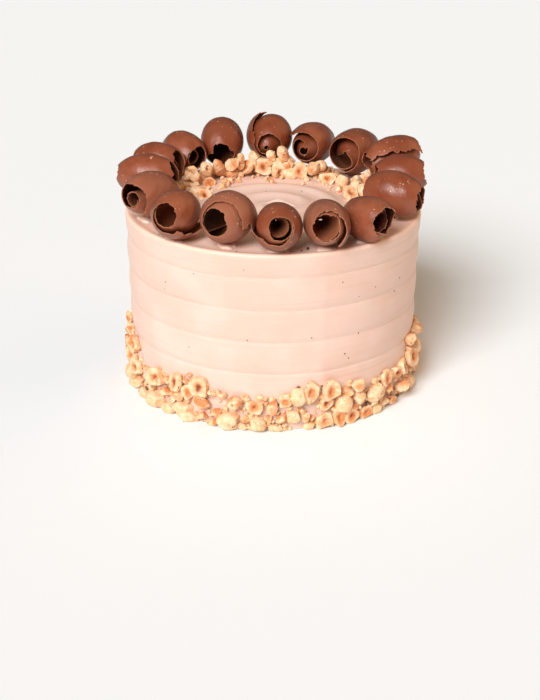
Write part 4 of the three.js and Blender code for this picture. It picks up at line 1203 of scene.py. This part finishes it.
# Painted light inside each curl, 0 to 1: how much paler its scraped inner side is painted where light comes
# into the hollow
INNER_PAINTED_LIGHT = (0.1, 0.65, 0.0, 0.4, 0.6, 0.0, 0.2, 0.2, 0.3, 0.3, 0.2, 0.0, 0.0, 0.1, 0.3, 0.3)
CHOCOLATE_BROWN = display_colour(148, 76, 46)
CHOCOLATE_DARK = display_colour(128, 60, 34)
# Painted shade for the outlines of the curls
CHOCOLATE_PAINTED_SHADE = display_colour(80, 34, 20)
CHOCOLATE_BLOOM = display_colour(168, 104, 78)
CHOCOLATE_EDGE = display_colour(176, 112, 78)
CHOCOLATE_SPECK = display_colour(222, 176, 146)
# Colours of the scraped inner side: partly its own duller colour, partly painted shade for the dark hollow of
# each roll
CHOCOLATE_SCRAPED_AND_SHADE = display_colour(112, 54, 34)
CHOCOLATE_HOLLOW_PAINTED_SHADE = display_colour(62, 28, 18)
# Painted light for the inside of the curls
CHOCOLATE_INNER_PAINTED_LIGHT = display_colour(172, 102, 66)
chocolate_material, tree, shader = new_material("milk_chocolate")
place = object_place(tree)
scraped = noise_value(tree, sheet_place(tree, 0.05, 1.6), 1.0, 3, 0.6)
cloudy = noise_value(tree, place, 75, 4, 0.6)
bloom = ramp(tree, cloudy, 0.45, 0.75)
brown = blend_colours(tree, ramp(tree, cloudy, 0.55, 0.3), CHOCOLATE_BROWN, CHOCOLATE_DARK)
brown = blend_colours(tree, bloom, brown, CHOCOLATE_BLOOM, 0.4)
brown = blend_colours(tree, ramp(tree, scraped, 0.55, 0.8), brown, CHOCOLATE_BLOOM, 0.3)
tone = attribute(tree, "tone")
brown = blend_colours(tree, ramp(tree, tone, -0.2, 1.0), brown, CHOCOLATE_BLOOM, 0.75)
brown = blend_colours(tree, ramp(tree, tone, 0.2, -1.0), brown, CHOCOLATE_DARK, 0.75)
edge_near = ramp(tree, attribute(tree, "from_edge"), 0.45, 0.05)
brown = blend_colours(tree, edge_near, brown, CHOCOLATE_EDGE, 0.7)
specks = add_node(tree, "ShaderNodeTexVoronoi", {"Vector": place, "Scale": 420})
heights = add_node(tree, "ShaderNodeSeparateXYZ", {0: place})
crest = ramp(tree, heights.outputs[2], 0.119, 0.130)
specked = calculate(tree, "MULTIPLY_ADD", crest, 0.07, noise_value(tree, place, 110, 3, 0.6))
speck_size = calculate(tree, "MULTIPLY", ramp(tree, specked, 0.44, 0.72), 0.24)
speck = calculate(tree, "LESS_THAN", specks.outputs["Distance"], speck_size)
# Painted shade: the chocolate is painted darker where the surface is seen at a slant, towards the outline of
# each curl
slanting = add_node(tree, "ShaderNodeLayerWeight", {"Blend": 0.4})
brown = blend_colours(tree, ramp(tree, slanting.outputs["Facing"], 0.25, 0.95), brown, CHOCOLATE_PAINTED_SHADE, 0.6)
brown = blend_colours(tree, speck, brown, CHOCOLATE_SPECK, 0.75)
gloss = calculate(tree, "MULTIPLY_ADD", bloom, 0.14, calculate(tree, "MULTIPLY_ADD", scraped, 0.14, 0.28))
paint(tree, shader, brown, calculate(tree, "MULTIPLY_ADD", edge_near, 0.25, gloss))
shader.inputs["Specular IOR Level"].default_value = 0.60
shader.inputs["Specular Tint"].default_value = (1.0, 0.86, 0.78, 1.0)
let_light_in(shader, 0.06, (1.0, 0.4, 0.25), 0.001)
grainy = noise_value(tree, place, 900, 3)
soft_dents = noise_value(tree, place, 130, 3)
relief = calculate(tree, "MULTIPLY_ADD", grainy, 0.2, calculate(tree, "MULTIPLY", soft_dents, 1.1))
relief = calculate(tree, "MULTIPLY_ADD", scraped, 0.35, relief)
relief = calculate(tree, "MULTIPLY_ADD", speck, 0.3, relief)
bump(tree, shader, relief, 0.0004, 0.9)
# The side that was scraped is duller and ribbed across the roll; its colours are also painted dark, as
# painted shade inside the hollow of each roll
inner_material, tree, shader = new_material("scraped_chocolate")
ribs = noise_value(tree, sheet_place(tree, 0.9, 0.12), 1.0, 3, 0.6)
inner_brown = blend_colours(tree, ramp(tree, ribs, 0.35, 0.7), CHOCOLATE_HOLLOW_PAINTED_SHADE, CHOCOLATE_SCRAPED_AND_SHADE)
# Painted light: the inner side is painted paler in the curls where light comes into the hollow
inner_brown = blend_colours(tree, attribute(tree, "inner_tone"), inner_brown, CHOCOLATE_INNER_PAINTED_LIGHT)
edge_near = ramp(tree, attribute(tree, "from_edge"), 0.45, 0.05)
inner_brown = blend_colours(tree, edge_near, inner_brown, CHOCOLATE_EDGE, 0.7)
paint(tree, shader, inner_brown, calculate(tree, "MULTIPLY_ADD", ribs, 0.2, 0.62))
shader.inputs["Specular IOR Level"].default_value = 0.16
bump(tree, shader, ribs, 0.0005, 0.8)

for number, (row, winding) in enumerate(zip(CURLS, WINDINGS), 1):
    turns, hand = row[8], row[10]
    node_name = f"chocolate_curl_{number:02d}"
    curl = new_object(f"rolled_{node_name}", bpy.data.meshes.new(node_name))
    rolling = curl.modifiers.new("roll", "NODES")
    rolling.node_group = roll
    numbers = row[5:] + winding + (CURL_SEED_STEP * number,)
    for name, value in zip(SHEET_INPUTS + WINDING_INPUTS + ("Seed",), numbers):
        set_input(rolling, name, math.radians(value) if name in ANGLE_INPUTS else float(value))
    set_input(rolling, "Round steps", round((turns + winding[0]) * STEPS_PER_TURN))
    set_input(rolling, "Along steps", ALONG_STEPS)
    sides = [chocolate_material, inner_material][::hand]
    set_input(rolling, "Material", sides[0])
    settle(curl)
    from_edges = np.zeros(len(curl.data.vertices))
    curl.data.attributes["from_edge"].data.foreach_get("value", from_edges)
    full = curl.vertex_groups.new(name="full_thickness")
    thinned = np.round(THINNING_STEPS * np.clip(from_edges / EDGE_THINNING, 0, 1))
    for step in range(THINNING_STEPS + 1):
        full.add(np.flatnonzero(thinned == step).tolist(), step / THINNING_STEPS, "REPLACE")
    thick = curl.modifiers.new("thick", "SOLIDIFY")
    thick.thickness = SHEET * MM
    thick.vertex_group = full.name
    thick.thickness_vertex_group = EDGE_SHARE_OF_SHEET
    thick.offset = -1.0 if hand > 0 else 1.0
    curl.data.materials.append(sides[1])
    thick.material_offset = 1
    thick.material_offset_rim = 0 if hand > 0 else 1
    settle(curl)
    middle, axis = curl_frame(row)
    side = Vector((-axis.y, axis.x, 0)).normalized()
    up = axis.cross(side)
    stand = Matrix((side, up, axis)).transposed().to_4x4()
    curl.data.transform(Matrix.Translation(middle * MM) @ stand)
    for name, values in (("tone", CURL_TONES), ("inner_tone", INNER_PAINTED_LIGHT)):
        tones = curl.data.attributes.new(name, "FLOAT", "POINT")
        tones.data.foreach_set("value", [values[number - 1]] * len(curl.data.vertices))
    curl.data.shade_smooth()
    curl.data.set_sharp_from_angle(angle=CURL_SHARP_ANGLE)
    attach(curl, "root")
    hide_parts(node_name)

# Specks and dabs of icing
# Bits of nut skin and chocolate that fell on the icing while the toppings were put on, and low dabs of
# buttercream pushed up where the curls were set down. They stick to the surface of the icing.
# Specks that show on the side: angle, height, size
SIDE_SPECKS = [
    (-133.5, 76, 0.8), (-134.7, 71.5, 0.7), (-120, 85, 0.9), (-100.4, 91, 0.8), (-64, 82, 1.0),
    (-34, 74, 0.9), (-36.7, 67.5, 1.0), (-49, 75, 0.8), (-56.7, 72, 0.8), (-55.6, 50.5, 1.1),
    (-75.5, 53, 1.0), (-99.3, 52, 1.0), (-123, 42.7, 0.9), (-62, 41, 1.2), (-60.2, 38, 0.9),
]
# Crumbs of chocolate on the top: angle, ring radius, size
TOP_SPECKS = [
    (-76, 73, 2.4), (-79, 75, 1.0), (-86, 76, 0.9), (-50, 77, 1.1), (-104, 77, 0.9), (-140, 78, 1.0),
    (100, 24, 0.9), (78, 12, 0.8), (132, 30, 0.8), (60, 33, 0.9),
]
SPECK_SHAPE = (0.5, 0.35, 0.4)
SPECK_SEED = 907
# Further specks on the side: how many, first angle and how far round, lowest and how far up, smallest
# and how much larger
MORE_SIDE_SPECKS = 34
SPECKS_FROM, SPECKS_OVER = -5, 180
SPECKS_LOWEST, SPECKS_RISE = 34, 60
SPECK_SMALLEST, SPECK_LARGER = 0.6, 0.6
DAB_DETAIL = 3
DAB_SIZE = (5.2, 3.6, 1.5)
DAB_OUTWARD = 3.0
DAB_UNEVEN = 0.38
SPECK_BROWN = display_colour(104, 58, 38)
SPECK_DARK = display_colour(58, 30, 20)
speck_material, tree, shader = new_material("fallen_crumbs")
patches = noise_value(tree, object_place(tree), 260, 2)
speckled = blend_colours(tree, ramp(tree, patches, 0.4, 0.6), SPECK_DARK, SPECK_BROWN)
paint(tree, shader, speckled, calculate(tree, "MULTIPLY_ADD", patches, 0.2, 0.45))
bump(tree, shader, noise_value(tree, object_place(tree), 1900, 2), 0.0002)

speck_draw = SeededDraws(SPECK_SEED)
side_specks = [(math.radians(angle), z, size) for angle, z, size in SIDE_SPECKS]
for _ in range(MORE_SIDE_SPECKS):
    angle = math.radians(SPECKS_OVER * speck_draw() + SPECKS_FROM)
    z = SPECKS_LOWEST + SPECKS_RISE * speck_draw()
    side_specks.append((angle, z, SPECK_SMALLEST + SPECK_LARGER * speck_draw()))
speck_places = []
for angle, z, size in side_specks:
    speck_places.append((round_the_cake(angle, hand_combed(z, angle) + 0.1 * size, z), size))
for angle, reach, size in TOP_SPECKS:
    place = round_the_cake(math.radians(angle), reach, 0)
    place.z = spread_top(place.x, place.y) + 0.25 * size
    speck_places.append((place, size))
specks_made = []
for number, (place, size) in enumerate(speck_places):
    kernel = pick_kernel(CRUMB_KIND, number)
    specks_made.append((place, loose_turn(speck_draw), Vector(SPECK_SHAPE) * size, kernel, 0.5, 0.5))
fallen_crumbs = scatter_nuts("fallen_crumbs", specks_made, 0, speck_material)
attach(fallen_crumbs, "root")

dab_shape = bmesh.new()
for row in CURLS:
    middle, axis = curl_frame(row)
    outward = Vector((middle.x, middle.y, 0)).normalized()
    heading = math.atan2(outward.y, outward.x) + math.radians(90 + 40 * (speck_draw() - 0.5))
    turn = Quaternion((0, 0, 1), heading)
    seed = 50 * speck_draw()
    centre = outward * (Vector((middle.x, middle.y, 0)).length + DAB_OUTWARD * (2 * speck_draw() - 0.8))
    centre.z = spread_top(centre.x, centre.y) - 0.2
    spread = 0.75 + 0.45 * speck_draw()
    made = bmesh.ops.create_icosphere(dab_shape, subdivisions=DAB_DETAIL, radius=1.0)
    for corner in made["verts"]:
        bulge = 1 + DAB_UNEVEN * waviness(*corner.co, 0.75, seed)
        stretched = Vector(DAB_SIZE) * spread * bulge
        corner.co = centre + turn @ Vector([share * size for share, size in zip(corner.co, stretched)])
dab_mesh = bpy.data.meshes.new("icing_dabs")
dab_shape.to_mesh(dab_mesh)
dab_shape.free()
dab_mesh.transform(Matrix.Scale(MM, 4))
dab_mesh.shade_smooth()
dab_mesh.materials.append(icing_material)
icing_dabs = new_object("icing_dabs", dab_mesh)
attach(icing_dabs, "root")
